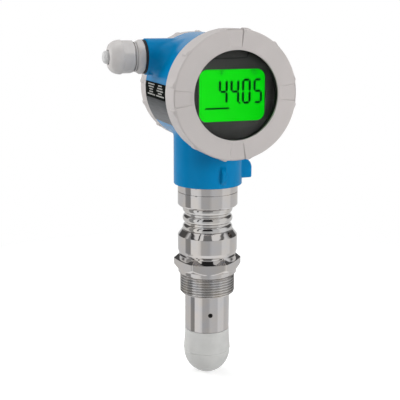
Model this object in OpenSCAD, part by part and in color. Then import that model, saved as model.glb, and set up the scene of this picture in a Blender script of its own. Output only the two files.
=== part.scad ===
// Radar level transmitter: threaded process connection with a drip-off
// antenna, cooling neck and a two-compartment housing with a local display.
// Millimetres. The origin is on the vertical axis in the sealing plane under
// the hexagon, +Z is up and the display looks along -Y.

/* [Process connection] */
// Outside diameter of the process thread
thread_d = 47.8; // [46:0.1:50]
// Length of the process thread
thread_l = 18.8; // [14:0.1:26]
// Length of the plain relief between thread and hexagon
relief_l = 1.6; // [1:0.1:3]
// Width of the hexagon across its flats, over the thread's diameter
hex_over_thread = 3.2; // [2.4:0.1:6]
// Thickness of the hexagon
hex_t = 11.9; // [9:0.1:16]
// Turn of the hexagon about the vertical axis
hex_turn = -17; // [-30:1:30]
// Height of the round collar above the hexagon
collar_t = 6; // [5:0.1:10]

/* [Antenna] */
// Outside diameter of the sensor tube
tube_d = 38.9; // [37:0.1:41]
// Visible length of the sensor tube under the thread
tube_l = 32.5; // [28:0.5:60]
// Wall of the sensor tube around the antenna
tube_wall = 4.15; // [3.5:0.05:5.5]
// Length of the flared band of the antenna cap
band_l = 20.2; // [15:0.1:30]
// Largest diameter of the antenna cap
cap_d = 41.2; // [40:0.1:42.2]
// Height of the rounded end of the antenna cap
cap_h = 22; // [16:0.5:26]

/* [Sensor body and cooling neck] */
// Width of the sensor body over the width of the hexagon
body_over_hex = 0.2; // [0:0.1:2]
// Height of the sensor body under its shoulder
body_h = 15.4; // [12:0.1:24]
// Height of the conical shoulder
shoulder_h = 4.9; // [4:0.1:7]
// Step of the shoulder in from the sensor body
shoulder_in = 3.7; // [3:0.1:5]
// Diameter of the two spanner holes in the shoulder
spanner_hole_d = 4.6; // [3:0.1:5.5]
// Number of rounded cooling ribs
rib_count = 3; // [3:1:5]
// Spacing of the cooling ribs
rib_pitch = 8.3; // [8:0.1:10]
// Diameter over the cooling ribs
rib_d = 43; // [42:0.1:43.4]
// Depth of the grooves between the cooling ribs
rib_depth = 1.9; // [1:0.1:2.4]
// Diameter of the two steel rings under the housing
ring_d = 51.4; // [50.6:0.1:54]
// Height of the lower steel ring
lower_ring_h = 12.2; // [10:0.1:16]
// Height of the upper steel ring
upper_ring_h = 6.2; // [5:0.1:9]

/* [Housing] */
// Wall of the housing neck around its bore
neck_wall = 7.2; // [6.5:0.1:9]
// Bore of the housing neck
neck_bore = 44; // [42:0.1:45]
// Thickness of the floor between the neck chamber and the front compartment
chamber_floor = 5.8; // [4:0.1:12]
// Step of the drum out from the front cover's thread
drum_step = 1.5; // [1:0.1:4]
// Distance from the vertical axis to the front end of the drum
drum_front = 40; // [38:0.5:46]
// Distance of the drum's rear end behind the cable entry bosses
drum_rear_margin = 0.5; // [0.5:0.1:6]
// Thickness of the wall between the compartments
partition_t = 5; // [4:0.5:8]
// Distance from the vertical axis to the front of the partition wall
partition_front = 10; // [8:0.5:12]
// Diameter of the cable entry bosses
boss_d = 29.8; // [28:0.1:31]
// Largest radius of the flare that joins a boss to the front of the drum
flare_r = 27.5; // [22:0.5:28]
// How far in front of its boss's axis the flare is centred
flare_shift = 11; // [8:0.5:12]
// How far inside the front cover's teeth the bosses end
boss_inset = 0.8; // [0:0.1:4]
// Height of the cable entries above the display axis
entry_rise = 26.4; // [24:0.1:27]
// Distance of the cable entries behind the vertical axis
entry_back = 14; // [13.5:0.1:15]
// Diameter of the cable entry thread
entry_d = 20; // [16:0.5:20]

/* [Covers] */
// Wall of the front cover around its thread
cover_wall = 7.5; // [6.5:0.1:10]
// Depth of the front cover
cover_depth = 22.7; // [22:0.1:26]
// Diameter of the window opening
window_d = 69.5; // [66:0.5:71]
// Thickness of the window glass
glass_t = 3.6; // [3:0.1:4]
// Wall of the housing inside the front cover's thread
front_wall = 5; // [4:0.1:7]
// Wall of the rear cover around its thread
rear_cover_wall = 6.7; // [5.5:0.1:8]
// How far the rear cover stands out over the drum
rear_cover_step = 1.2; // [0:0.1:3]
// Depth of the rear cover
rear_cover_depth = 20.7; // [19:0.1:26]
// Wall of the housing inside the rear cover's thread
rear_wall = 3.5; // [3:0.1:6]
// Depth of the grip flats in the rims
grip_depth = 1.3; // [0.6:0.1:2]

/* [Display] */
// Diameter of the display module
display_d = 74; // [72:0.5:76]
// Room between the display module and the housing
display_room = 2.5; // [1:0.1:4]
// Width of the display field
lcd_w = 55; // [48:0.5:56]
// Height of the display field
lcd_h = 40.4; // [36:0.2:41]
// Corner radius of the display field
lcd_corner = 6.6; // [3:0.1:9]
// Height of the digits
digit_h = 19.6; // [14:0.2:20]
// Width of one digit
digit_w = 7.4; // [5:0.1:7.6]
// Spacing of the digits
digit_pitch = 9.7; // [9.5:0.1:10]
// Width of a digit segment
segment_w = 1.5; // [1:0.1:2]

/* [Cable gland] */
// Wall of the gland body's hexagon outside the gland thread
gland_hex_wall = 2.4; // [2:0.1:4]
// Wall of the cap nut at its flats outside the gland thread
nut_wall = 2; // [1.5:0.1:3]
// Length of the cap nut
nut_l = 20.5; // [18:0.5:24]
// Diameter of the sealing plug head
plug_head_d = 10.4; // [9:0.1:11]

/* [Fits] */
// Radial clearance of turning fits
run_gap = 0.05; // [0.02:0.01:0.08]
// Axial gap between parts that turn on each other
face_gap = 0.3; // [0.2:0.05:0.5]
// Gap between parts that stay clear of each other
clear_gap = 0.4; // [0.3:0.05:0.6]

/* [Hidden] */
$fn = 96;
eps = 0.01;

// Levels along the vertical axis, from the antenna upwards
thread_r = thread_d / 2;
relief_r = thread_r - 1.4;
face_recess = 0.4;
tube_r = tube_d / 2;
horn_r = tube_r - tube_wall;
tube_end = -thread_l - tube_l;
tube_spigot_r = tube_r - 2;
set_screw_l = tube_wall - 1.25;
set_screw_in = 0.5;
set_screw_r = 1.95;
tube_spigot_top = -4;
cap_r = cap_d / 2;
ridge_z = tube_end - band_l;
horn_mouth = tube_end + 14.3;
guide_r = 4;
guide_bore_r = 2.5;
seal_l = 6;
horn_throat = -8;
hex_af = thread_d + hex_over_thread;
body_r = (hex_af + body_over_hex) / 2;
collar_r = body_r - 0.7;
collar_top = hex_t + collar_t;
body_chamfer_h = 2.5;
body_top = collar_top + body_h;
shoulder_r = body_r - shoulder_in;
shoulder_top = body_top + shoulder_h;
joint_spigot_r = 16;
joint_spigot_l = 8;
neck_socket_l = 10;
plug_r = joint_spigot_r - 1;
adapter_r = joint_spigot_r + 4;
core_bore_r = 12;
neck_bore_r = 9;
rib_foot = 1.7;
rib_head = 2.7;
first_rib = shoulder_top + rib_foot;
rib_arc_r = 4.1;
rib_r = rib_d / 2;
rib_core_r = rib_r - rib_depth;
lower_ring_z = first_rib + (rib_count - 1) * rib_pitch + rib_head;
ring_r = ring_d / 2;
ring_joint = lower_ring_z + lower_ring_h;
joint_line = 0.5;
upper_ring_top = ring_joint + joint_line + upper_ring_h;
neck_spigot_l = 6.8;

// Housing neck and its turning joint
neck_z = upper_ring_top + 0.1;
neck_bore_rad = neck_bore / 2;
neck_r = neck_bore_rad + neck_wall;
stub_r = neck_bore_rad - run_gap;
flange_top = neck_z + 17.9;
stub_top = flange_top + 4;
circlip_t = 1.4;
circlip_gap = 6;
circlip_z = flange_top + clear_gap;
circlip_in_r = stub_r - 1.6;
circlip_out_r = stub_r + 2.5;
chamber_r = circlip_out_r + 0.6;
module_r = stub_r - 3.95;
module_floor = flange_top - 8;
module_flange_t = 3;
board_t = 1.6;
socket_h = 5;
chamber_top = stub_top + module_flange_t + board_t + socket_h + 3.4;
oring_z = neck_z + 6;

// Display axis and compartments
display_r = display_d / 2;
front_bore_r = display_r + display_room;
axis_h = chamber_top + chamber_floor + front_bore_r;
cover_thread_r = front_bore_r + front_wall;
drum_r = cover_thread_r + drum_step;
cover_r = cover_thread_r + cover_wall;
boss_reach = cover_r - boss_inset;
rear_cover_r = drum_r + rear_cover_step;
rear_thread_r = rear_cover_r - rear_cover_wall;
rear_bore_r = rear_thread_r - rear_wall;
partition_back = partition_t - partition_front;
boss_r = boss_d / 2;
drum_rear = entry_back + boss_r + drum_rear_margin;
rear_spigot_end = drum_rear + 10;
entry_r = entry_d / 2;
entry_h = axis_h + entry_rise;
cover_front = drum_front + face_gap + cover_depth;
insert_r = front_bore_r - 0.7;
insert_front = drum_front - 2;
lip_t = 1.7;
seat_r = window_d / 2 + 4.4;
gasket_t = 0.4;
glass_front = cover_front - lip_t - gasket_t;
glass_back = glass_front - glass_t;
window_ring_t = 2.5;
bezel_front = glass_back - window_ring_t - 0.8;
bezel_t = 1;
spigot_end = bezel_front - 2;
cover_floor = spigot_end + 2.5;
insert_wall = 2;
lid_t = 1.5;
main_board_y = partition_front + 12;
carrier_t = 2.5;
carrier_front = insert_front + carrier_t;
display_back = carrier_front + 1;
post_r = 6;
post_l = 5;
bezel_wall = 1.5;
seal_bore_r = 8;
lead_hole_r = 5;
lead_hole_in = 8;

// Cable entries
washer_t = 2;
gland_flange_t = 6.8;
gland_neck_r = entry_r + 0.5;
gland_bore_r = entry_r - 3.5;
gland_af = 2 * (gland_neck_r + gland_hex_wall);
nut_af = 2 * (gland_neck_r + nut_wall);
gland_face = boss_reach + washer_t + gland_flange_t;
nut_start = gland_face + 1.5;
nut_end = nut_start + nut_l;
insert_in_r = gland_bore_r - 2.5;
plug_flange_t = 5.3;

// ---------- helpers ----------

// Local +Z looks out of the display
module to_front() translate([0, 0, axis_h]) rotate([90, 0, 0]) children();

// Local +Z looks out of the rear cover
module to_rear() translate([0, 0, axis_h]) rotate([-90, 0, 0]) children();

// Local +Z looks out of the left cable entry
module to_left() translate([0, entry_back, entry_h]) rotate([0, -90, 0]) children();

// Local +Z looks out of the right cable entry
module to_right() translate([0, entry_back, entry_h]) rotate([0, 90, 0]) children();

// Round disc or rod from level a to level b
module rod(r, a, b) translate([0, 0, a]) cylinder(r = r, h = b - a);

// Round tube from level a to level b
module ring(r_out, r_in, a, b) difference() {
    rod(r_out, a, b);
    rod(r_in, a - 1, b + 1);
}

// Round cord bent into a ring
module oring(r, cord_r, z) translate([0, 0, z]) rotate_extrude() translate([r, 0]) circle(r = cord_r, $fn = 32);

// Hexagonal prism from level a to level b
module hexagon(af, a, b) translate([0, 0, a]) linear_extrude(b - a) circle(r = af / 2 / cos(30), $fn = 6);

// Rectangle with rounded corners, centred
module rounded_field(w, h, r) {
    square([w - 2 * r, h], center = true);
    square([w, h - 2 * r], center = true);
    for (sx = [-1, 1], sy = [-1, 1])
        translate([sx * (w / 2 - r), sy * (h / 2 - r)]) circle(r = r, $fn = 32);
}

// Points of a quarter of an ellipse, from its widest point to its tip
function quarter(rx, ry, n) = [for (i = [0 : n]) [rx * cos(90 * i / n), ry * sin(90 * i / n)]];

// ---------- antenna and process connection ----------

module antenna_dome() color("gainsboro") {
    dome = [for (p = quarter(cap_r - 0.25, cap_h, 12)) [p[0], ridge_z - p[1]]];
    seal_z = tube_end + 7;
    difference() {
        rotate_extrude() polygon(concat(
            [[0, horn_throat - 6], [1.2, horn_throat - 6], [horn_r - 0.3, horn_mouth]],
            [[horn_r, horn_mouth - 0.8], [horn_r, tube_end], [tube_r + 0.15, tube_end]],
            [[cap_r, ridge_z]], dome));
        ring(horn_r + 1, horn_r - 2.1, seal_z - 1.5, seal_z + 1.5);
    }
}

module antenna_seal() color("dimgray") oring(horn_r - 1.05, 1, tube_end + 7);

module sensor_tube() color("silver") difference() {
    rotate_extrude() polygon([[horn_r, tube_end], [tube_r, tube_end], [tube_r, -thread_l],
        [tube_spigot_r, -thread_l], [tube_spigot_r, tube_spigot_top], [guide_bore_r, tube_spigot_top],
        [guide_bore_r, horn_throat], [horn_r, horn_mouth]]);
    set_screw_place() rod(set_screw_r + 0.05, -set_screw_in - set_screw_l, 1);
}

// Radial place of the set screw in the tube wall, local +Z outwards
module set_screw_place()
    rotate([0, 0, -101.7]) translate([tube_r, 0, tube_end + 16.1]) rotate([0, 90, 0]) children();

module tube_set_screw() color("dimgray") set_screw_place() difference() {
    rod(set_screw_r, -set_screw_in - set_screw_l, -set_screw_in);
    hexagon(1.6, -set_screw_in - 1.3, 0);
}

module process_connection() color("silver") difference() {
    union() {
        rod(thread_r, -thread_l, -relief_l);
        rod(relief_r, -relief_l - eps, face_recess + eps);
        intersection() {
            rotate([0, 0, hex_turn]) hexagon(hex_af, 0, hex_t);
            rotate_extrude() polygon([[0, face_recess], [thread_r + 0.2, face_recess],
                [thread_r + 0.2, 0], [hex_af / 2 + 0.5, 0], [hex_corner_r, hex_t / 2],
                [hex_corner_r, hex_t], [0, hex_t]]);
        }
        rod(collar_r, hex_t - eps, collar_top);
        intersection() {
            rotate([0, 0, hex_turn]) hexagon(hex_af - 0.4, hex_t - eps, collar_top);
            translate([0, 0, hex_t - eps]) cylinder(r1 = hex_corner_r - 0.6, r2 = collar_r - 0.1, h = 4);
        }
    }
    ring(collar_r + 1, collar_r - 0.7, collar_top - 2.4, collar_top - 1.6);
    rod(tube_spigot_r, -thread_l - 1, tube_spigot_top);
    rod(core_bore_r, tube_spigot_top - eps, collar_top + 1);
    rod(joint_spigot_r, collar_top - joint_spigot_l, collar_top + 1);
}
hex_corner_r = hex_af / 2 / cos(30) - 0.1;

module waveguide() color("gold") ring(guide_r, guide_bore_r, tube_spigot_top, module_floor);

module waveguide_seal() color("ivory") ring(core_bore_r, guide_r, tube_spigot_top, tube_spigot_top + seal_l);

// ---------- sensor body, cooling neck and rings ----------

module sensor_body() color("silver") difference() {
    union() {
        rod(joint_spigot_r, collar_top - joint_spigot_l, collar_top + eps);
        rotate_extrude() polygon([[0, collar_top], [collar_r, collar_top],
            [body_r, collar_top + body_chamfer_h], [body_r, body_top],
            [shoulder_r, shoulder_top], [0, shoulder_top]]);
    }
    rod(core_bore_r, collar_top - joint_spigot_l - 1, body_top);
    rod(joint_spigot_r, shoulder_top - neck_socket_l, shoulder_top + 1);
    for (turn = [-57.4, 122.6])
        rotate([0, 0, turn])
            translate([(body_r + shoulder_r) / 2, 0, (body_top + shoulder_top) / 2])
                rotate([0, 90 - atan((body_r - shoulder_r) / shoulder_h), 0])
                    rod(spanner_hole_d / 2, -5, 3);
}

// One rounded rib, cut off below and above where its neighbours begin
module rib(z, below, above) translate([0, 0, z]) rotate_extrude() intersection() {
    translate([rib_r - rib_arc_r, 0]) circle(r = rib_arc_r, $fn = 48);
    translate([rib_core_r - 2, -below]) square([10, below + above]);
}

module cooling_neck() color("silver") difference() {
    union() {
        rod(joint_spigot_r, shoulder_top - neck_socket_l, shoulder_top + eps);
        rod(rib_core_r, shoulder_top, lower_ring_z);
        for (i = [0 : rib_count - 1])
            rib(first_rib + i * rib_pitch, i == 0 ? rib_foot : rib_arc_r,
                i == rib_count - 1 ? rib_head : rib_arc_r);
        rod(plug_r, lower_ring_z - eps, lower_ring_z + neck_spigot_l);
    }
    rod(neck_bore_r, shoulder_top - neck_socket_l - 1, lower_ring_z + neck_spigot_l + 1);
}

module lower_ring() color("silver") difference() {
    rotate_extrude() polygon([[0, lower_ring_z], [ring_r - 1.2, lower_ring_z],
        [ring_r - 0.35, lower_ring_z + 0.35], [ring_r, lower_ring_z + 1.2],
        [ring_r, ring_joint], [0, ring_joint]]);
    rod(plug_r, lower_ring_z - 1, lower_ring_z + neck_spigot_l);
    rod(adapter_r, lower_ring_z + neck_spigot_l - eps, ring_joint + 1);
}

module neck_adapter() color("silver") difference() {
    union() {
        rod(adapter_r, lower_ring_z + neck_spigot_l, ring_joint + eps);
        rod(ring_r - 0.8, ring_joint, ring_joint + joint_line + eps);
        rod(ring_r, ring_joint + joint_line, upper_ring_top);
        rod(stub_r, upper_ring_top - eps, stub_top);
    }
    rod(core_bore_r, lower_ring_z + neck_spigot_l - 1, module_floor + eps);
    rod(module_r, module_floor, stub_top + 1);
    ring(stub_r + 1, stub_r - 2.2, oring_z - 1.3, oring_z + 1.3);
    ring(stub_r + 1, circlip_in_r, circlip_z, circlip_z + circlip_t);
}

module neck_oring() color("dimgray") oring(stub_r - 1.2, 0.95, oring_z);

module retaining_ring() color("gray") difference() {
    ring(circlip_out_r, circlip_in_r, circlip_z, circlip_z + circlip_t);
    translate([0, -circlip_gap / 2, circlip_z - 1]) cube([circlip_out_r + 5, circlip_gap, circlip_t + 2]);
}

module radar_module() color("darkgray") {
    rod(module_r, module_floor, stub_top);
    rod(stub_r - 2, stub_top, stub_top + module_flange_t);
}

module module_board() color("seagreen")
    rod(stub_r - 3.5, stub_top + module_flange_t, stub_top + module_flange_t + board_t);

module module_socket() color("ivory") translate([-6, -3, stub_top + module_flange_t + board_t]) difference() {
    cube([12, 6, socket_h]);
    translate([1, 1, 1.5]) cube([10, 4, socket_h]);
}

// ---------- housing ----------

module housing() color("steelblue") difference() {
    union() {
        rod(neck_r, neck_z, axis_h - drum_r / 2);
        to_front() {
            rod(drum_r, -drum_rear, drum_front);
            rod(cover_thread_r, drum_front - eps, spigot_end);
        }
        to_rear() rod(rear_thread_r, drum_rear - eps, rear_spigot_end);
        to_left() rod(boss_r, 0, boss_reach);
        to_right() rod(boss_r, 0, boss_reach);
        to_left() boss_flare();
        to_right() boss_flare();
        neck_rib();
        ground_lug();
    }
    to_front() rod(front_bore_r, partition_front, spigot_end + 1);
    to_rear() rod(rear_bore_r, partition_back, rear_spigot_end + 1);
    to_rear() rod(seal_bore_r, -partition_front - 1, partition_back + 1);
    to_left() rod(entry_r, 20, boss_reach + 1);
    to_right() rod(entry_r, 20, boss_reach + 1);
    rod(neck_bore_rad, neck_z - 1, flange_top + eps);
    rod(chamber_r, flange_top, chamber_top);
    translate([0, -partition_front - lead_hole_in, 0]) rod(lead_hole_r, chamber_top - 1, axis_h);
    translate([0, 0, lock_z]) rotate([-90, 0, 0]) rod(3, neck_bore_rad - 2, neck_r + 1);
    ground_place() rod(2.5, -8, 1);
}
lock_z = neck_z + 13.4;

// Hollow flare between a boss and the front of the drum: a turned trumpet kept only towards -Y
module boss_flare() intersection() {
    rotate_extrude() polygon(concat([[0, 0], [flare_r, 0], [flare_r, boss_reach - flare_r + boss_r]],
        [for (i = [0 : 8]) [flare_r - (flare_r - boss_r) * sin(11.25 * i),
            boss_reach - (flare_r - boss_r) * cos(11.25 * i)]], [[0, boss_reach]]));
    translate([0, -flare_shift, 0]) rod(flare_r - flare_shift, 0, boss_reach);
}

// Rounded rib on the front of the neck
module neck_rib() intersection() {
    translate([2.7, -neck_r + 4.7, neck_z + 10.9]) rotate([0, 90, 0]) rod(9, -2.3, 2.3);
    translate([0, -neck_r, neck_z]) cube([12, 14, 50], center = true);
}

// Lug on the right of the neck that carries the earth connection
module ground_lug() translate([0, ground_lug_w / 2, neck_z + 3.4]) rotate([90, 0, 0])
    linear_extrude(ground_lug_w) difference() {
        union() {
            translate([neck_r - 6, 0]) square([ground_reach - neck_r + 6, ground_lug_h - 8]);
            translate([neck_r - 6, 0]) square([ground_reach - neck_r - 2, ground_lug_h]);
            translate([ground_reach - 8, ground_lug_h - 8]) circle(r = 8, $fn = 48);
        }
        translate([-50, -50]) square([50 + neck_r - 6, 100]);
    }
ground_lug_w = 12;
ground_lug_h = 17;
ground_reach = neck_r + 9;

// Place of the earth screw on the rear face of the lug, local +Z outwards
module ground_place() translate([neck_r + 4, ground_lug_w / 2, neck_z + 11]) rotate([-90, 0, 0]) children();

module ground_clamp() color("silver") ground_place() difference() {
    translate([-4.2, -6, 0]) cube([8.4, 12, clamp_t]);
    rod(2.5, -1, clamp_t + 1);
}
clamp_t = 1.6;

module ground_screw() color("silver") ground_place() difference() {
    union() {
        rod(2.5, -7, clamp_t);
        rod(screw_head_r, clamp_t, clamp_t + screw_head_h);
    }
    hexagon(3, clamp_t + screw_head_h / 2, clamp_t + screw_head_h + 1);
}

module lock_screw() color("gray") translate([0, 0, lock_z]) rotate([-90, 0, 0]) difference() {
    rod(3, neck_bore_rad + 0.5, neck_r - 0.5);
    hexagon(3, neck_r - 3.5, neck_r);
}

// Plate bent round the left flank of the drum
module nameplate() color("dimgray") to_front() translate([0, 0, 3 - drum_rear])
    rotate([0, 0, 172.5]) rotate_extrude(angle = 42.5)
        translate([drum_r + 0.05, 0]) square([0.7, drum_rear + drum_front - 8]);

// ---------- front compartment ----------

module electronics_insert() color("lightgray") to_front() difference() {
    rod(insert_r, partition_front, insert_front - lid_t);
    rod(insert_r - insert_wall, partition_front + insert_wall, insert_front);
}

module insert_lid() color("gray") to_front() rod(insert_r, insert_front - lid_t, insert_front);

module main_board() color("seagreen") to_front()
    rod(insert_r - insert_wall - 0.2, main_board_y, main_board_y + board_t);

module display_carrier() color("dimgray") to_front() {
    rod(insert_r, insert_front, carrier_front);
    rod(post_r, carrier_front - eps, display_back + post_l);
}

// ---------- rear compartment ----------

module compartment_seal() color("dimgray") to_rear() rod(seal_bore_r, -partition_front, partition_back);

terminal_w = 50;
terminal_h = 20;
terminal_depth = 12;
terminal_pitch = 7.8;
terminal_z = axis_h - 4;
module terminal_block() color("darkslategray")
    translate([-terminal_w / 2, partition_back, terminal_z - terminal_h / 2])
        cube([terminal_w, terminal_depth, terminal_h]);

module terminal_screws() color("silver") for (i = [0 : 5])
    translate([(i - 2.5) * terminal_pitch, partition_back + terminal_depth, terminal_z])
        rotate([-90, 0, 0]) difference() {
            rod(2.3, 0, 1.6);
            translate([-3, -0.4, 0.8]) cube([6, 0.8, 2]);
        }

module inner_ground_screw() color("silver")
    translate([0, partition_back, axis_h - rear_bore_r + 11]) rotate([-90, 0, 0]) difference() {
        rod(screw_head_r, 0, screw_head_h);
        hexagon(3, screw_head_h / 2, screw_head_h + 1);
    }
screw_head_r = 4;
screw_head_h = 3;

// ---------- display module ----------

module display_bezel() color("dimgray") to_front() difference() {
    rod(display_r, display_back + board_t, bezel_front);
    rod(display_r - bezel_wall, display_back + board_t - 1, bezel_front - bezel_t - lcd_t);
    translate([0, lcd_drop, bezel_front - bezel_t - lcd_t - 1]) linear_extrude(lcd_t + 3)
        rounded_field(lcd_w, lcd_h, lcd_corner);
}
lcd_drop = -0.6;
lcd_t = 2;

module lcd_panel() color("lime") to_front() translate([0, lcd_drop, bezel_front - bezel_t - lcd_t])
    linear_extrude(lcd_t) rounded_field(lcd_w - 0.2, lcd_h - 0.2, lcd_corner);

module display_board() color("seagreen") to_front()
    ring(display_r, post_r + run_gap, display_back, display_back + board_t);

// Which of the seven bars are lit: top, upper left, upper right, middle,
// lower left, lower right, bottom
function bars(d) =
    d == 0 ? [1, 1, 1, 0, 1, 1, 1] :
    d == 4 ? [0, 1, 1, 1, 0, 1, 0] :
             [1, 1, 0, 1, 0, 1, 1];
slant = 0.06;
digits_up = 3;
ink_t = 0.15;

// Bar with pointed ends between two points of the digit's frame
module bar(a, b) {
    w = segment_w / 2;
    d = (b - a) / norm(b - a);
    n = [-d[1], d[0]];
    p = [a + w * d * 0.2, a + w * (d + n), b + w * (n - d), b - w * d * 0.2, b - w * (n + d), a + w * (d - n)];
    linear_extrude(ink_t) polygon([for (q = p) [q[0] + slant * q[1], q[1]]]);
}

module digit(d) {
    w = (digit_w - segment_w) / 2;
    h = (digit_h - segment_w) / 2;
    lit = bars(d);
    ends = [[[-w, h], [w, h]], [[-w, 0], [-w, h]], [[w, 0], [w, h]], [[-w, 0], [w, 0]],
        [[-w, -h], [-w, 0]], [[w, -h], [w, 0]], [[-w, -h], [w, -h]]];
    for (i = [0 : 6]) if (lit[i] == 1) bar(ends[i][0], ends[i][1]);
}

module lcd_segments() color("darkgreen") to_front() translate([0, lcd_drop, bezel_front - bezel_t]) {
    last = lcd_w / 2 - digit_w / 2 - 2.3;
    for (i = [0 : 3]) translate([last - (3 - i) * digit_pitch, digits_up]) digit([4, 4, 0, 5][i]);
    translate([last - 1.5 * digit_pitch - 0.75, digits_up - digit_h / 2 + 0.6]) cylinder(r = 0.7, h = ink_t);
    translate([5 - lcd_w / 2, -10.5]) cube([20, 1.3, ink_t]);
}

// ---------- front cover ----------

// One tooth: steep towards the recess side, running out on the other side
module grip_tooth(r, a, b, turn, side) rotate([0, 0, turn]) translate([0, 0, a]) linear_extrude(b - a)
    polygon([[r - 1.5, -side * 3], [r + grip_depth - 0.1, -side * 0.9], [r + grip_depth, side * 1.2],
        [r - 0.6, side * 8], [r - 3, side * 8], [r - 3, -side * 3]]);

// Grip teeth of a cover, in pairs beside each recess and single ones between
module grip_teeth(r, a, b) {
    for (k = [0 : 3]) for (t = [[-8.5, -1], [12, 1]]) grip_tooth(r, a, b, 90 * k + t[0], t[1]);
    for (turn = [52, 142, 232]) grip_tooth(r, a, b, turn, -1);
}

// Groove for the seal just inside the open end of a cover, down to its edge
function seal_groove(r, z) = [[r + run_gap, z + 4.4], [r + 2.6, z + 4.4], [r + 2.6, z + 1.5],
    [r + run_gap, z + 1.5], [r + run_gap, z]];

module display_cover() color("lightgray") to_front() {
    open_end = drum_front + face_gap;
    r0 = cover_r - grip_depth;
    difference() {
        rotate_extrude() polygon(concat(
            seal_groove(cover_thread_r, open_end),
            [[r0 - 0.6, open_end], [r0, open_end + 0.6]],
            [for (i = [0 : 6]) [r0 - 1.2 + 1.2 * cos(15 * i), cover_front - 1.2 + 1.2 * sin(15 * i)]],
            [[window_d / 2 + 0.6, cover_front], [window_d / 2, cover_front - 0.6]],
            [[window_d / 2, cover_front - lip_t], [seat_r, cover_front - lip_t]],
            [[seat_r, cover_floor], [cover_thread_r + run_gap, cover_floor]]));
        for (k = [0 : 3]) rotate([0, 0, 90 * k + 1.75]) translate([window_d / 2 + 2.2, 0, cover_front - 0.6])
            rotate([0, 3.5, 0]) linear_extrude(4) polygon([[0, -5], [17, -7.3], [17, 7.3], [0, 5]]);
    }
    grip_teeth(r0, cover_front - 12, cover_front - 1.4);
}

module cover_oring() color("dimgray") to_front()
    oring(cover_thread_r + 1.35, 1.05, drum_front + face_gap + 2.95);

module window_gasket() color("black") to_front()
    ring(seat_r - 0.05, window_d / 2 + 0.3, glass_front, glass_front + gasket_t);

module window_glass() color("lightcyan", 0.4) to_front() rod(seat_r - 0.05, glass_back, glass_front);

module window_ring() color("black") to_front()
    ring(seat_r - 0.05, window_d / 2 + 0.8, glass_back - window_ring_t, glass_back);

// ---------- rear cover ----------

module rear_cover() color("lightgray") to_rear() {
    open_end = drum_rear + face_gap;
    back = open_end + rear_cover_depth;
    r0 = rear_cover_r - grip_depth;
    rotate_extrude() polygon(concat(
        [[0, back - 4.5], [rear_bore_r, back - 4.5], [rear_bore_r, rear_spigot_end + 1.5]],
        [[rear_thread_r + run_gap, rear_spigot_end + 1.5]], seal_groove(rear_thread_r, open_end),
        [[r0 - 0.6, open_end], [r0, open_end + 0.6], [r0, back - 7]],
        [for (i = [0 : 6]) [r0 - 5.2 + 4 * cos(15 * i), back - 4.6 + 4 * sin(15 * i)]],
        [[r0 - 14, back], [0, back]]));
    rotate([0, 0, -7.75]) grip_teeth(r0, back - 15, back - 6.5);
}

module rear_oring() color("dimgray") to_rear() oring(rear_thread_r + 1.35, 1.05, drum_rear + face_gap + 2.95);

// ---------- cable entries ----------

module gland_washer() color("black") to_left() ring(boss_r - 1, entry_r, boss_reach, boss_reach + washer_t);

module gland_body() color("lightgray") to_left() difference() {
    union() {
        rod(entry_r, boss_reach - 10, boss_reach + washer_t + eps);
        intersection() {
            hexagon(gland_af, boss_reach + washer_t, gland_face);
            rotate_extrude() translate([0, boss_reach + washer_t]) polygon([[0, 0], [gland_af / 2 + 0.7, 0],
                [gland_af / 2 + 1.2, 0.8], [gland_af / 2 + 1.2, gland_flange_t - 1.6],
                [gland_af / 2 - 0.4, gland_flange_t], [0, gland_flange_t]]);
        }
        rod(gland_neck_r, gland_face - eps, nut_start + 11);
    }
    rod(gland_bore_r, boss_reach - 11, nut_start + 12);
}

module gland_nut() color("lightgray") to_left() difference() {
    intersection() {
        hexagon(nut_af, nut_start, nut_end);
        rotate_extrude() polygon(concat(
            [[0, nut_start], [nut_af / 2 - 0.6, nut_start], [nut_corner_r, nut_start + 1.4]],
            [for (p = quarter(nut_corner_r - nut_rim_r, nut_dome_l, 8))
                [p[0] + nut_rim_r, nut_end - nut_dome_l + p[1]]],
            [[0, nut_end]]));
    }
    rod(gland_neck_r + run_gap, nut_start - 1, nut_start + 12);
    rod(gland_bore_r + 0.2, nut_start + 11, nut_end - 3);
    rod(plug_head_d / 2 + clear_gap, nut_end - 4, nut_end + 1);
}
nut_corner_r = nut_af / 2 + 1.2;
nut_rim_r = plug_head_d / 2 + 1;
nut_dome_l = 9.5;
plug_seat = 4.4;
plug_tip = nut_end + 4.1;

module gland_insert() color("dimgray") to_left()
    ring(gland_bore_r - 0.1, insert_in_r, nut_start + 1, nut_end - plug_seat);

module gland_plug() color("gainsboro") to_left() {
    rod(insert_in_r, nut_start + 5, nut_end - plug_seat + eps);
    rotate_extrude() polygon([[0, nut_end - plug_seat], [plug_head_d / 2, nut_end - plug_seat],
        [plug_head_d / 2, plug_tip - 1.7], [plug_head_d / 2 - 0.5, plug_tip - 0.7],
        [plug_head_d / 2 - 1.8, plug_tip], [0, plug_tip]]);
}

module plug_oring() color("dimgray") to_right() oring(entry_r + 1.2, 0.9, boss_reach + 0.95);

module blind_plug() color("lightgray") to_right() difference() {
    union() {
        rod(entry_r - run_gap, boss_reach - 9, boss_reach + face_gap + eps);
        difference() {
            rotate_extrude() translate([0, boss_reach + face_gap]) polygon([[0, 0], [boss_r - 0.8, 0],
                [boss_r - 0.8, plug_flange_t - 1.2], [boss_r - 2, plug_flange_t], [0, plug_flange_t]]);
            ring(entry_r + 2.3, entry_r + 0.1, boss_reach, boss_reach + 1.95);
        }
    }
    hexagon(10, boss_reach - 1, boss_reach + 20);
}

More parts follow.
